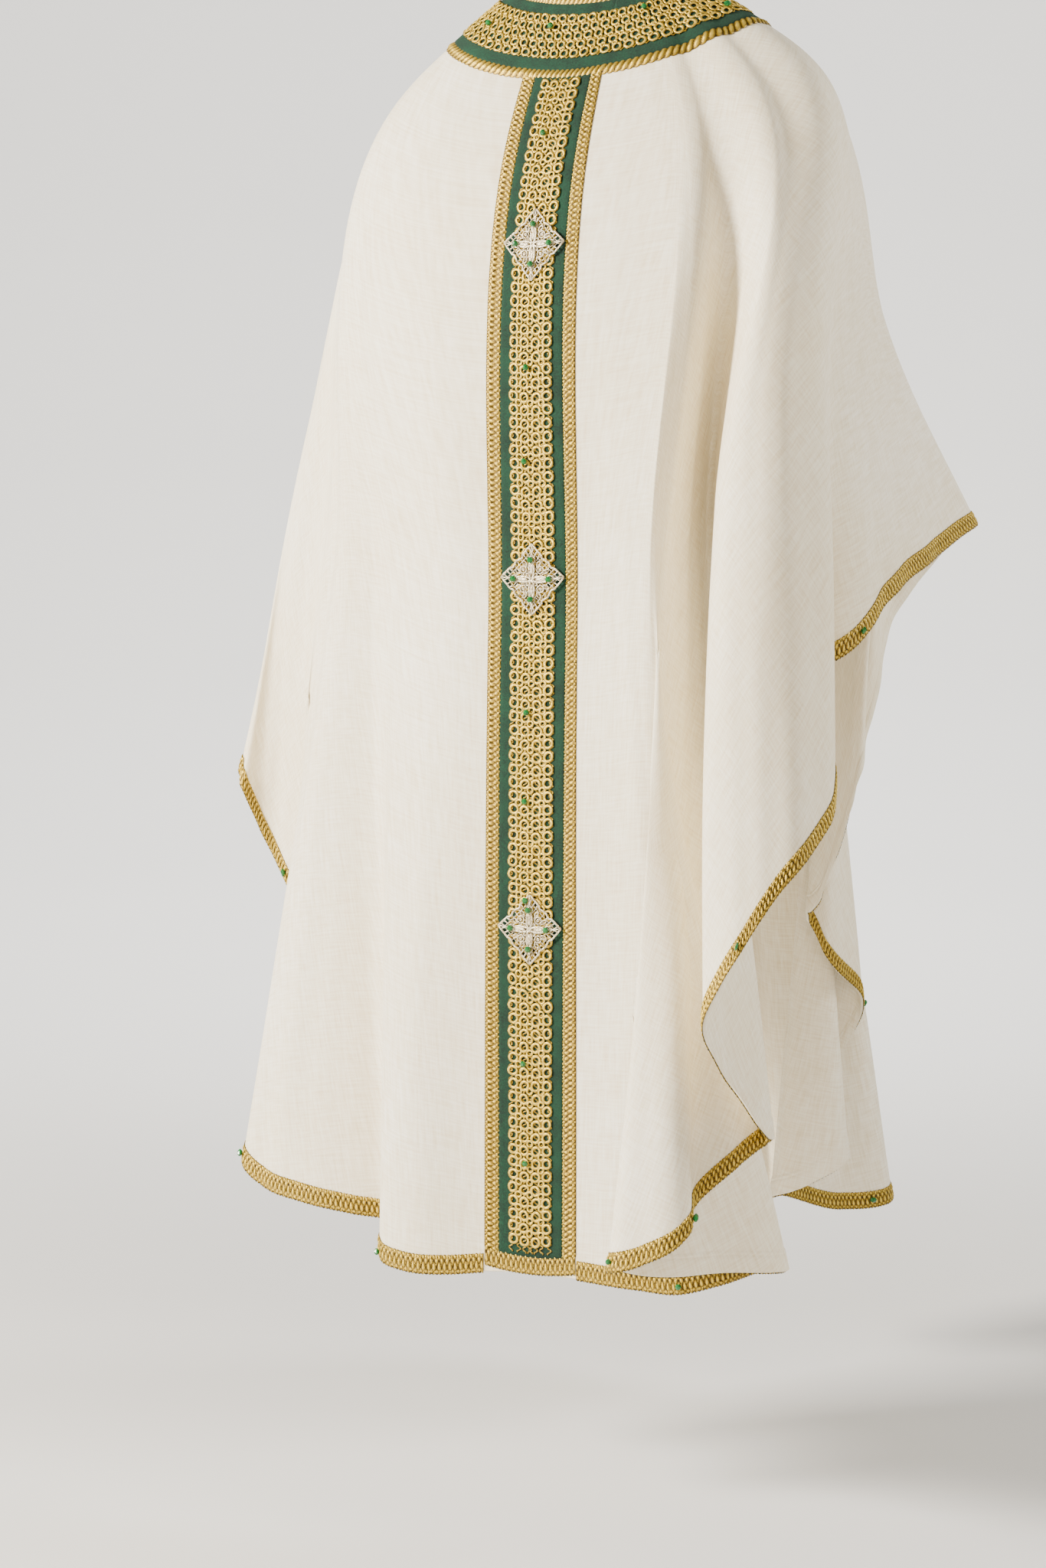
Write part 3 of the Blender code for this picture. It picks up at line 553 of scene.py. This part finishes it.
def gold_gimp(name, painted_crest_light, painted_gap_shade, roughness):
    """Metallised thread over a core: a painted highlight in bright yellow on the crests and painted
    shade in brown in the gaps between the loops, both read from the point attribute, and the fine
    twist of the thread, drawn 0.9 mm apart so that it shows."""
    made, tree, shader = new_finish(name)
    body = add(tree, "ShaderNodeTexCoord", {})
    twist = add(tree, "ShaderNodeTexNoise", {
        "Vector": body.outputs["Object"], "Scale": 1 / (0.9 * MM), "Detail": 2.0, "Roughness": 0.7})
    shade = add(tree, "ShaderNodeAttribute", {}, attribute_name="painted_crest_light")
    # The colour is painted light: dark brown painted shade where the thread lies low, bright yellow painted
    # highlight on its tops.
    raised = add(tree, "ShaderNodeMath", {0: shade.outputs["Fac"], 1: 0.6}, operation="MULTIPLY")
    mixed = add(tree, "ShaderNodeMath", {0: twist.outputs["Fac"], 1: 0.55, 2: raised.outputs[0]},
                operation="MULTIPLY_ADD")
    tone = add(tree, "ShaderNodeValToRGB", {"Fac": mixed.outputs[0]})
    tone.color_ramp.elements[0].position, tone.color_ramp.elements[0].color = 0.36, linear(painted_gap_shade)
    tone.color_ramp.elements[1].position, tone.color_ramp.elements[1].color = 0.86, linear(painted_crest_light)
    middle = tone.color_ramp.elements.new(0.6)
    middle.color = linear("#AD8C26")
    relief = add(tree, "ShaderNodeBump",
                 {"Height": twist.outputs["Fac"], "Strength": 0.8, "Distance": 0.5 * MM})
    tree.links.new(tone.outputs["Color"], shader.inputs["Base Color"])
    tree.links.new(relief.outputs[0], shader.inputs["Normal"])
    shader.inputs["Metallic"].default_value = 0.55
    shader.inputs["Roughness"].default_value = roughness
    return made


def loops(along, across, wide):
    """Height from 0 to 1 of the braid's loops: two slanting waves cross, each bent a little."""
    bend = 0.9 * np.sin(across / wide * 2 * np.pi)
    one = np.abs(np.sin(np.pi * (along / KNOT + 2.5 * across / wide) + bend))
    other = np.abs(np.sin(np.pi * (along / KNOT - 2.8 * across / wide) - bend))
    return np.clip(1.3 * one * other - 0.05, 0, 1)


def galloon(name, around, from_edge, along, wide, place_below, finish):
    """Braid along a line: its face rises in loops and its two edges are scalloped by the picots,
    and its underside is one strip of faces from edge to edge."""
    picot = PICOT * np.abs(np.sin(np.pi * along / GIMP))
    stretch = from_edge / wide * (wide + 2 * picot) - picot
    height = loops(along, from_edge, wide)
    side = np.minimum(from_edge, wide - from_edge) / wide
    rise = 0.35 * MM + GALLOON_RISE * height * np.clip(side * 9, 0.25, 1)
    return galloon_mesh(name, around, place_below(stretch), rise, height, finish)


def galloon_mesh(name, around, below, rise, height, finish):
    """The braid's face on the cloth, its flat underside, and its two cut ends."""
    points = on_cloth(around, below, rise)
    number = np.arange(points.shape[0] * points.shape[1]).reshape(points.shape[:2])
    under = np.stack([number[0, :-1], number[0, 1:], number[-1, 1:], number[-1, :-1]], -1)
    faces = [quads(number), under, number[::-1, :1].T, number[:, -1:].T]
    # The loops' height goes on as painted shade: dark painted shade in the gaps, painted highlight on the
    # crests.
    return put_in_scene(name, points.reshape(-1, 3), faces, finish,
                        shade=np.broadcast_to(height, points.shape[:2]).ravel())


# Bright yellow painted highlight on the braid's crests, dark brown painted shade in its gaps.
gold = gold_gimp("gold gimp galloon", "#E9CC58", "#33250A", 0.36)
hem_steps = np.linalg.norm(np.roll(cloth[-1], -1, axis=0) - cloth[-1], axis=1)
hem_run = np.concatenate([[0], np.cumsum(hem_steps)])
hem_place = np.append(u_line, ROUND)
hem_across = np.linspace(0, HEM_BRAID, 13)[:, None]
for name, node, start, end in (
        ("galloon_hem_back_left", "hem_braid_back_left", left_tip, place["orphrey left"]),
        ("galloon_hem_back_right", "hem_braid_back_right", place["orphrey right"], right_tip),
        ("galloon_hem_front", "hem_braid_front", right_tip, ROUND + left_tip)):
    run = np.interp([start, end], hem_place, hem_run)
    along = np.arange(run[0] + 0.3 * MM, run[1] - 0.3 * MM, 0.95 * MM)
    around = np.interp(along, hem_run, hem_place)
    piece = galloon(name, around, hem_across, along, HEM_BRAID,
                    lambda across, around=around: length_at(around) + 0.6 * MM - HEM_BRAID + across, gold)
    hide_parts(node)
    (front_trims if name.endswith("front") else back_trims).append(piece)

# The same galloon, 15 mm wide, edges both sides of the orphrey and closes its foot.
SIDE_BRAID = ORPHREY_HALF - VELVET_HALF + 0.5 * MM
side_along = np.arange(YOKE_EDGES[-1] - 3 * MM, reach - HEM_BRAID + 1.5 * MM, 0.95 * MM)
side_across = np.linspace(0, SIDE_BRAID, 12)[:, None]
for side, way in (("left", -1), ("right", 1)):
    inner_edge = centre_back + way * (VELVET_HALF - 0.5 * MM)
    picot = PICOT * np.abs(np.sin(np.pi * side_along / GIMP))
    height = loops(side_along, side_across, SIDE_BRAID)
    edge = np.minimum(side_across, SIDE_BRAID - side_across) / SIDE_BRAID
    rise = 0.5 * MM + (GALLOON_RISE + 0.5 * MM) * height * np.clip(edge * 9, 0.25, 1)
    out = side_across / SIDE_BRAID * (SIDE_BRAID + picot) - picot
    order = slice(None) if way < 0 else slice(None, None, -1)
    piece = galloon_mesh("galloon_orphrey_" + side, (inner_edge + way * out)[order],
                         np.broadcast_to(side_along, out.shape), rise[order], height[order], gold)
    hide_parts("orphrey_braid_" + side)
    back_trims.append(piece)
foot_along = np.arange(-ORPHREY_HALF + 0.5 * MM, ORPHREY_HALF - 0.5 * MM, 0.95 * MM)
piece = galloon("galloon_orphrey_foot", centre_back + foot_along, hem_across, foot_along, HEM_BRAID,
                lambda across: reach + 0.6 * MM - HEM_BRAID + across, gold)
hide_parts("orphrey_braid_foot")
back_trims.append(piece)

# The yoke's two braids go right round: a narrow one binds the neckline, and a corded one with
# large scallops, 5 mm apart, covers the velvet's outer edge.
SCALLOPS = round(YOKE_ROUND / (5.2 * MM))
scallop_along = np.arange(SCALLOPS * 6) / (SCALLOPS * 6) * YOKE_ROUND
for name, node, first, last, fullness in (
        ("galloon_neckline", "yoke_neck_braid", YOKE_EDGES[0], YOKE_EDGES[1], 0.5 * MM),
        ("galloon_yoke_edge", "yoke_edge_braid", YOKE_EDGES[4], YOKE_EDGES[5], 1.3 * MM)):
    wide = last - first
    step = np.linspace(0, 1, 9)[:, None]
    wave = np.abs(np.sin(np.pi * scallop_along / YOKE_ROUND * SCALLOPS))
    below = first + step * wide + (2 * step - 1) * fullness * wave
    cord = np.abs(np.sin(np.pi * (scallop_along / YOKE_ROUND * SCALLOPS + 0.9 * step)))
    height = np.clip(cord * (0.55 + 0.45 * np.sin(np.pi * step)), 0, 1)
    rise = 0.6 * MM + 2.0 * MM * height * np.sin(np.pi * np.clip(step, 0.06, 0.94))
    # Painted shade from the cord's height, a painted highlight on its tops; the underside is painted fully
    # dark.
    shade = np.concatenate([np.broadcast_to(height, below.shape).ravel(), np.zeros(below.size)])
    piece = ring_band(name, scallop_along, below, rise, gold, shade=shade)
    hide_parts(node)
    back_trims.append(piece)

# Gold lace: needle lace of metallised thread, worked as rows of round eyelets joined by bars.
# A 47 mm insertion lies down the orphrey and a 50 mm one round the yoke, both on velvet.
LACE_PITCH = 12.8 * MM
EYELET, EYELET_THREAD = 4.3 * MM, 1.65 * MM
FLATTENED = 0.62


def tubes(paths, thickness, sides, closed):
    """Slightly flattened threads along many paths at once. A path is a row of points in the trim's own plan,
    across, along and up; a section is a ring of points square to the path. Closed paths join
    end to start, and open ones end in a flat face. Returns points and groups of faces."""
    if closed:
        heading = np.roll(paths, -1, axis=1) - np.roll(paths, 1, axis=1)
    else:
        heading = np.gradient(paths, axis=1)
    sideways = np.stack([heading[..., 1], -heading[..., 0], np.zeros(heading.shape[:2])], -1)
    sideways /= np.linalg.norm(sideways, axis=-1, keepdims=True)
    turn = np.arange(sides) / sides * 2 * np.pi + np.pi / sides
    thickness = np.broadcast_to(thickness, (len(paths),))[:, None, None, None]
    upward = np.array([0, 0, FLATTENED])
    section = sideways[:, :, None] * np.cos(turn)[:, None] + upward * np.sin(turn)[:, None]
    points = paths[:, :, None] + section * thickness
    number = np.arange(points.size // 3).reshape(points.shape[:3])
    around = np.concatenate([number, number[:, :, :1]], axis=2)
    if closed:
        around = np.concatenate([around, around[:, :1]], axis=1)
    walls = np.stack([around[:, :-1, :-1], around[:, :-1, 1:], around[:, 1:, 1:], around[:, 1:, :-1]], -1)
    groups = [walls.reshape(-1, 4)]
    if not closed:
        groups += [number[:, 0, ::-1], number[:, -1]]
    return points.reshape(-1, 3), groups


def gathered_up(parts):
    """Several lots of points and groups of faces as one, quads first."""
    points, groups, shift = [], {}, 0
    for some, faces in parts:
        for group in faces:
            groups.setdefault(group.shape[1], []).append(group + shift)
        points.append(some)
        shift += len(some)
    return np.concatenate(points), [np.concatenate(groups[size]) for size in sorted(groups)]


def eyelets(centres, radii, thread, height, draw):
    """Small rings of thread, each a little out of round and out of line."""
    t = np.arange(12) / 12 * 2 * np.pi
    count = len(centres)
    wobble = 1 + draw.normal(0, 0.05, (count, 1)) * np.cos(2 * t + draw.uniform(0, 6.3, (count, 1)))
    off = draw.normal(0, 0.25 * MM, (count, 2))
    across = centres[:, :1] + off[:, :1] + radii[:, :1] * wobble * np.cos(t)
    along = centres[:, 1:] + off[:, 1:] + radii[:, 1:] * wobble * np.sin(t)
    up = height + 0.35 * MM * np.cos(3 * t + draw.uniform(0, 6.3, (count, 1)))
    return tubes(np.stack([across, along, up], -1), thread, 5, closed=True)


def wavy_bars(start, end, lines, swing, wave, thread, height):
    """Threads that run the whole length in waves between the eyelets."""
    along = np.arange(start, end, wave / 5)
    phase = np.arange(len(lines))[:, None] * np.pi
    across = lines[:, None] + swing * np.sin(2 * np.pi * along / wave + phase)
    up = height + 0.3 * MM * np.cos(4 * np.pi * along / wave + phase)
    return tubes(np.stack([across, np.broadcast_to(along, across.shape), up], -1), thread, 4, closed=False)


def painted_shade_of(plan, low, high):
    """Painted shade of a lace thread by its height: painted shade dark against the velvet, a painted
    highlight on top.
    """
    return np.clip((plan[:, 2] - low) / (high - low), 0, 1)


# Bright yellow painted highlight on the thread tops, dark brown painted shade low against the velvet.
lace_gold = gold_gimp("gold needle lace", "#EBCB55", "#33250A", 0.32)
draw = np.random.default_rng(7)
start, end = YOKE_EDGES[-1], reach - HEM_BRAID - 1 * MM
rows = np.arange(start + 6 * MM, end - 5 * MM, LACE_PITCH)
main = np.stack(np.meshgrid(np.array([-18.2, -6.3, 6.3, 18.2]) * MM, rows), -1).reshape(-1, 2)
main[:, 1] += np.where(np.abs(main[:, 0]) < 8 * MM, 1.2 * MM, 0)
small_rows = rows[:-1] + LACE_PITCH / 2
between = np.stack(np.meshgrid(np.array([-12.3, 0, 12.3]) * MM, small_rows), -1).reshape(-1, 2)
bar_lines = np.array([-21.2, -12.2, -6.3, -0.6, 0.6, 6.3, 12.2, 21.2]) * MM
plan, groups = gathered_up([
    eyelets(main, np.full(main.shape, EYELET), EYELET_THREAD, 2.3 * MM, draw),
    eyelets(between, np.full(between.shape, 2.9 * MM), 1.15 * MM, 2.7 * MM, draw),
    wavy_bars(start, end, bar_lines, 2.2 * MM, LACE_PITCH / 2, 0.85 * MM, 1.8 * MM)])
points = on_cloth(centre_back + plan[:, 0], plan[:, 1], plan[:, 2])
# The orphrey lace carries painted shade by height: darker low down, brighter on top.
piece = put_in_scene("lace_orphrey", points, groups, lace_gold,
                     shade=painted_shade_of(plan, 1.2 * MM, 3.4 * MM))
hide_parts("orphrey_lace")
back_trims.append(piece)

YOKE_EYELETS = round(YOKE_ROUND / (10.6 * MM))
yoke_pitch = YOKE_ROUND / YOKE_EYELETS
yoke_rows = np.array([25.2, 35.0, 44.9, 54.8, 64.6]) * MM
step, row = np.meshgrid(np.arange(YOKE_EYELETS), np.arange(5))
main = np.stack([yoke_rows[row], (step + row % 2 / 2) * yoke_pitch], -1).reshape(-1, 2)
step, row = np.meshgrid(np.arange(YOKE_EYELETS), np.arange(4))
between = np.stack([yoke_rows[row] + 4.9 * MM, (step + 0.25 + row % 2 / 2) * yoke_pitch], -1).reshape(-1, 2)
bars = np.linspace(0, YOKE_ROUND, YOKE_EYELETS * 8 + 1)
edges = np.array([22.0, 30.1, 40.0, 49.8, 59.7, 68.0])[:, None] * MM
waves = edges + 1.5 * MM * np.sin(4 * np.pi * bars / yoke_pitch + np.arange(6)[:, None] * np.pi)
bars = np.stack([waves, np.broadcast_to(bars, waves.shape), np.full(waves.shape, 1.9 * MM)], -1)
plan, groups = gathered_up([
    eyelets(main, np.tile([3.9 * MM, 3.8 * MM], (len(main), 1)), 1.5 * MM, 2.3 * MM, draw),
    eyelets(between, np.full(between.shape, 2.1 * MM), 0.95 * MM, 2.8 * MM, draw),
    tubes(bars, 0.85 * MM, 4, closed=False)])
points = on_cloth(round_yoke(plan[:, 1]), plan[:, 0], plan[:, 2])
# The yoke lace carries painted shade by height: darker low down, brighter on top.
piece = put_in_scene("lace_yoke", points, [group[:, ::-1] for group in groups], lace_gold,
                     shade=painted_shade_of(plan, 1.2 * MM, 3.4 * MM))
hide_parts("yoke_lace")
back_trims.append(piece)

# Filigree diamonds: three appliques of silver-gold bullion and cord, 68 mm from point to point,
# with four green stones each, sewn over the lace.
DIAMOND_HALF = 34 * MM
DIAMONDS = {"upper": 0.262, "middle": 0.580, "lower": 0.918}


def silver_gold_bullion():
    """Bullion: fine coiled wire, with painted glints in near white and painted shade in honey-brown between
    coils, both placed by noise.
    """
    made, tree, shader = new_finish("silver gold bullion")
    body = add(tree, "ShaderNodeTexCoord", {})
    coil_bump_and_painted_glint = add(tree, "ShaderNodeTexNoise",
               {"Vector": body.outputs["Object"], "Scale": 1 / (1.0 * MM), "Detail": 2.0})
    # The coil noise paints glints and shade between coils into the colour, and also bumps the surface.
    tone = add(tree, "ShaderNodeValToRGB", {"Fac": coil_bump_and_painted_glint.outputs["Fac"]})
    tone.color_ramp.elements[0].position, tone.color_ramp.elements[0].color = 0.36, linear("#7E6228")
    tone.color_ramp.elements[1].position, tone.color_ramp.elements[1].color = 0.58, linear("#FFF5D6")
    relief = add(tree, "ShaderNodeBump",
                 {"Height": coil_bump_and_painted_glint.outputs["Fac"], "Strength": 0.9, "Distance": 0.5 * MM})
    tree.links.new(tone.outputs["Color"], shader.inputs["Base Color"])
    tree.links.new(relief.outputs[0], shader.inputs["Normal"])
    shader.inputs["Metallic"].default_value = 0.45
    shader.inputs["Roughness"].default_value = 0.3
    return made


def green_glass():
    """Faceted glass: deep green, glossy, lit from within where light passes."""
    made, tree, shader = new_finish("green faceted glass")
    body = add(tree, "ShaderNodeTexCoord", {})
    depth = add(tree, "ShaderNodeTexNoise", {"Vector": body.outputs["Object"], "Scale": 1 / (3 * MM)})
    tone = add(tree, "ShaderNodeMix",
               {"Factor": depth.outputs["Fac"], 6: linear("#0C4A22"), 7: linear("#2E9A4E")},
               data_type="RGBA")
    tree.links.new(tone.outputs[2], shader.inputs["Base Color"])
    shader.inputs["Roughness"].default_value = 0.07
    shader.inputs["IOR"].default_value = 1.52
    shader.inputs["Transmission Weight"].default_value = 0.25
    return made


def four_ways(paths):
    """Each path turned to the four sides of the diamond."""
    x, y, z = paths[..., 0], paths[..., 1], paths[..., 2]
    return np.concatenate([np.stack([a, b, z], -1) for a, b in ((x, y), (-y, x), (-x, -y), (y, -x))])


def strands(corners, height, pieces=3):
    """Bent threads through rows of corners, in half diagonals, at one height in metres."""
    rows = np.array(corners, float)
    at = np.linspace(0, rows.shape[1] - 1, (rows.shape[1] - 1) * pieces + 1)
    low = np.minimum(at.astype(int), rows.shape[1] - 2)
    flat = rows[:, low] + (rows[:, low + 1] - rows[:, low]) * (at - low)[:, None]
    return np.concatenate([flat, np.full(flat.shape[:2] + (1,), height / DIAMOND_HALF)], axis=-1)


def petals(rows, height):
    """Closed oval threads: centre, half length, half width and lean in degrees."""
    t = np.arange(14) / 14 * 2 * np.pi
    x, y, long, wide, lean = np.array(rows, float).T[:, :, None]
    lean = np.radians(lean)
    a, b = long * np.cos(t), wide * np.sin(t)
    return np.stack([x + a * np.cos(lean) - b * np.sin(lean), y + a * np.sin(lean) + b * np.cos(lean),
                     np.full(a.shape, height / DIAMOND_HALF)], -1)


def diamond_plan():
    """Cords of one diamond in its own plan: a bright edge notched behind each point, a slanting
    net inside it, small bars in the points, a cross of long petals, and rings on the diagonals."""
    slants = [[((c - e) / 2, (c + e) / 2) for e in (-0.97, 0.97)] for c in np.linspace(-0.8, 0.8, 9)]
    net = slants + [[(x, -y) for x, y in line] for line in slants]
    edge = strands([[(1.0, 0.0), (0.69, 0.30), (0.60, 0.31), (0.50, 0.50)],
                    [(1.0, 0.0), (0.69, -0.30), (0.60, -0.31), (0.50, -0.50)]], 4.7 * MM)
    bars = strands([[(0.99, 0), (0.62, 0)], [(0.90, 0.08), (0.66, -0.04)], [(0.90, -0.08), (0.66, 0.04)],
                    [(0.80, 0.18), (0.64, 0.08)], [(0.80, -0.18), (0.64, -0.08)],
                    [(0.71, 0.27), (0.62, 0.20)], [(0.71, -0.27), (0.62, -0.20)]], 4.9 * MM)
    lots = [tubes(strands(net, 4.2 * MM, 8) * DIAMOND_HALF, 0.48 * MM, 4, closed=False),
            tubes(four_ways(edge) * DIAMOND_HALF, 1.05 * MM, 6, closed=False),
            tubes(four_ways(bars) * DIAMOND_HALF, 0.7 * MM, 5, closed=False)]
    for rows, thread, height in (
            ([(0.27, 0, 0.24, 0.08, 0), (0.29, 0, 0.14, 0.02, 0)], 1.25 * MM, 5.4 * MM),
            ([(0.27, 0.27, 0.10, 0.10, 0), (0.27, 0.27, 0.03, 0.03, 0), (0.12, 0.12, 0.07, 0.04, 45)],
             0.7 * MM, 5.0 * MM),
            ([(0.44, 0.22, 0.09, 0.05, 30), (0.22, 0.44, 0.09, 0.05, 60), (0.56, 0, 0.10, 0.10, 0)],
             0.65 * MM, 4.9 * MM)):
        lots.append(tubes(four_ways(petals(rows, height)) * DIAMOND_HALF, thread, 5, closed=True))
    return gathered_up(lots)


bullion, stone_glass = silver_gold_bullion(), green_glass()
plan, groups = diamond_plan()
for where, distance in DIAMONDS.items():
    points = on_cloth(centre_back + plan[:, 0] + 0.5 * MM, distance + plan[:, 1], plan[:, 2])
    piece = put_in_scene("filigree_" + where, points, groups, bullion)
    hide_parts("diamond_" + where)
    back_trims.append(piece)

# Beads and stones: faceted green glass, sewn on the lace and the hem's galloon.
BEAD = 3.1 * MM


def faceted(places, radius):
    """Six-sided cut beads: four rings of points, flat at both ends, one for each place."""
    turn = np.arange(6) / 6 * 2 * np.pi
    profile = np.array([(0.45, 0.0), (1.0, 0.55), (1.0, 1.1), (0.45, 1.6)])
    ring = np.stack([profile[:, :1] * np.cos(turn), profile[:, :1] * np.sin(turn),
                     np.broadcast_to(profile[:, 1:], (4, 6))], -1) * radius
    points = places[:, None, None] + ring
    number = np.arange(points.size // 3).reshape(-1, 4, 6)
    wrap = np.concatenate([number, number[:, :, :1]], axis=2)
    walls = np.stack([wrap[:, :-1, :-1], wrap[:, 1:, :-1], wrap[:, 1:, 1:], wrap[:, :-1, 1:]], -1)
    return points.reshape(-1, 3), [walls.reshape(-1, 4), number[:, 0], number[:, -1, ::-1]]


BEADS_DOWN_ORPHREY = ((-5, 152), (-3, 378), (-6, 467), (-4, 708), (-5, 794), (-4, 890), (-6, 1050),
                      (-4, 1148))
BEADS_ROUND_YOKE = ((88, 46), (171, 35), (272, 28), (345, 60))
BEADS_ON_HEM = ((565, -9), (912, -8), (1174, -6), (1506, -7), (1873, -9), (1972, -9), (2351, -9), (2783, -9),
                (3725, -9), (4218, -9))
stones = [(sx * 19 * MM, distance + sy * 19 * MM, 5.2 * MM) for distance in DIAMONDS.values()
          for sx, sy in ((1, 0), (-1, 0), (0, 1), (0, -1))]
sewn = np.array([(x * MM, below * MM, 3.4 * MM) for x, below in BEADS_DOWN_ORPHREY] + stones)
plan, groups = faceted(sewn, BEAD)
lots = [(on_cloth(centre_back + plan[:, 0], plan[:, 1], plan[:, 2]), groups)]
sewn = np.array([(along * MM, below * MM, 3.4 * MM) for along, below in BEADS_ROUND_YOKE])
plan, groups = faceted(sewn, BEAD)
lots.append((on_cloth(round_yoke(plan[:, 0]), plan[:, 1], plan[:, 2]), groups))
sewn = np.array([(around * MM, below * MM, 1.5 * MM) for around, below in BEADS_ON_HEM])
plan, groups = faceted(sewn, BEAD)
lots.append((on_cloth(plan[:, 0], length_at(plan[:, 0]) + plan[:, 1], plan[:, 2]), groups))
points, groups = gathered_up(lots)
beads = put_in_scene("green_beads", points, groups, stone_glass, smooth_faces=False)


# Floor, light and camera: pale paper that rises all round as a backdrop, soft light from the
# viewer's left, and a camera behind the garment's right shoulder.
FLOOR_Z = -1.50


def studio_paper():
    """Matt pale grey paper with a faint unevenness."""
    made, tree, shader = new_finish("pale studio paper")
    body = add(tree, "ShaderNodeTexCoord", {})
    grain = add(tree, "ShaderNodeTexNoise", {"Vector": body.outputs["Object"], "Scale": 3.0, "Detail": 2.0})
    tone = add(tree, "ShaderNodeMix",
               {"Factor": grain.outputs["Fac"], 6: linear("#E6E5E2"), 7: linear("#E9E8E5")},
               data_type="RGBA")
    tree.links.new(tone.outputs[2], shader.inputs["Base Color"])
    shader.inputs["Roughness"].default_value = 0.9
    return made


towards = np.array([-0.454, 0.891, 0.0])
rightward = np.array([-0.891, -0.454, 0.0])
angle = np.linspace(0, 2 * np.pi, 97)
away = np.array([0.0, 1.0, 3.0, 4.2, 5.2, 6.0, 6.6, 7.0, 7.2, 7.25])[:, None]
height = np.array([0.0, 0.0, 0.0, 0.15, 0.5, 1.0, 1.7, 2.6, 4.0, 6.0])[:, None]
bowl = np.stack(np.broadcast_arrays(away * np.cos(angle), -away * np.sin(angle), FLOOR_Z + height), axis=-1)
number = np.arange(bowl.size // 3).reshape(bowl.shape[:2])
paper = put_in_scene("studio_paper", bowl.reshape(-1, 3), quads(number), studio_paper())


def lamp(name, at, aim, size, watts, colour):
    """One soft square light looking at a point."""
    light = bpy.data.lights.new(name, "AREA")
    light.size, light.energy, light.color = size, watts, linear(colour)[:3]
    holder = bpy.data.objects.new(name, light)
    holder.location = at
    holder.rotation_euler = (Vector(aim) - Vector(at)).to_track_quat("-Z", "Y").to_euler()
    bpy.context.scene.collection.objects.link(holder)


lamp("key", towards * 1.3 - rightward * 3.1 + (0, 0, 0.8), (0.05, 0.05, -0.6), 0.9, 430, "#FFF8EE")
lamp("fill", towards * 2.8 + rightward * 1.0 + (0, 0, 0.1), (-0.1, 0.0, -0.7), 2.0, 16, "#FFDFAE")
lamp("rim", (-2.2, -1.2, 0.8), (-0.2, 0, -0.4), 0.9, 60, "#FFFFFF")
lamp("backdrop", (1.2, -2.4, 1.6), (2.6, -5.4, -0.4), 2.5, 260, "#FFFFFF")
world = bpy.data.worlds.new("studio")
bpy.context.scene.world = world
world.use_nodes = True
world.node_tree.nodes["Background"].inputs["Color"].default_value = linear("#E9E2D4")
world.node_tree.nodes["Background"].inputs["Strength"].default_value = 0.18

CAMERA_DISTANCE, CAMERA_Z, FOCAL_PIXELS, IMAGE_WIDTH, IMAGE_HEIGHT = 3.6, -0.42, 4716, 1366, 2048
BODY_AXIS_PIXEL, PITCH = 788, np.radians(5.6)
yaw = np.arctan((BODY_AXIS_PIXEL - IMAGE_WIDTH / 2) / FOCAL_PIXELS)
level = -towards * np.cos(yaw) - rightward * np.sin(yaw)
looking = Vector(level * np.cos(PITCH) + np.array([0, 0, -np.sin(PITCH)]))
lens = bpy.data.cameras.new("camera")
lens.sensor_fit = "VERTICAL"
lens.sensor_height = 36.0
lens.lens = FOCAL_PIXELS / IMAGE_HEIGHT * lens.sensor_height
camera = bpy.data.objects.new("camera", lens)
camera.location = Vector(towards * CAMERA_DISTANCE + np.array([0, 0, CAMERA_Z]))
camera.rotation_euler = looking.to_track_quat("-Z", "Y").to_euler()
bpy.context.scene.collection.objects.link(camera)
bpy.context.scene.camera = camera
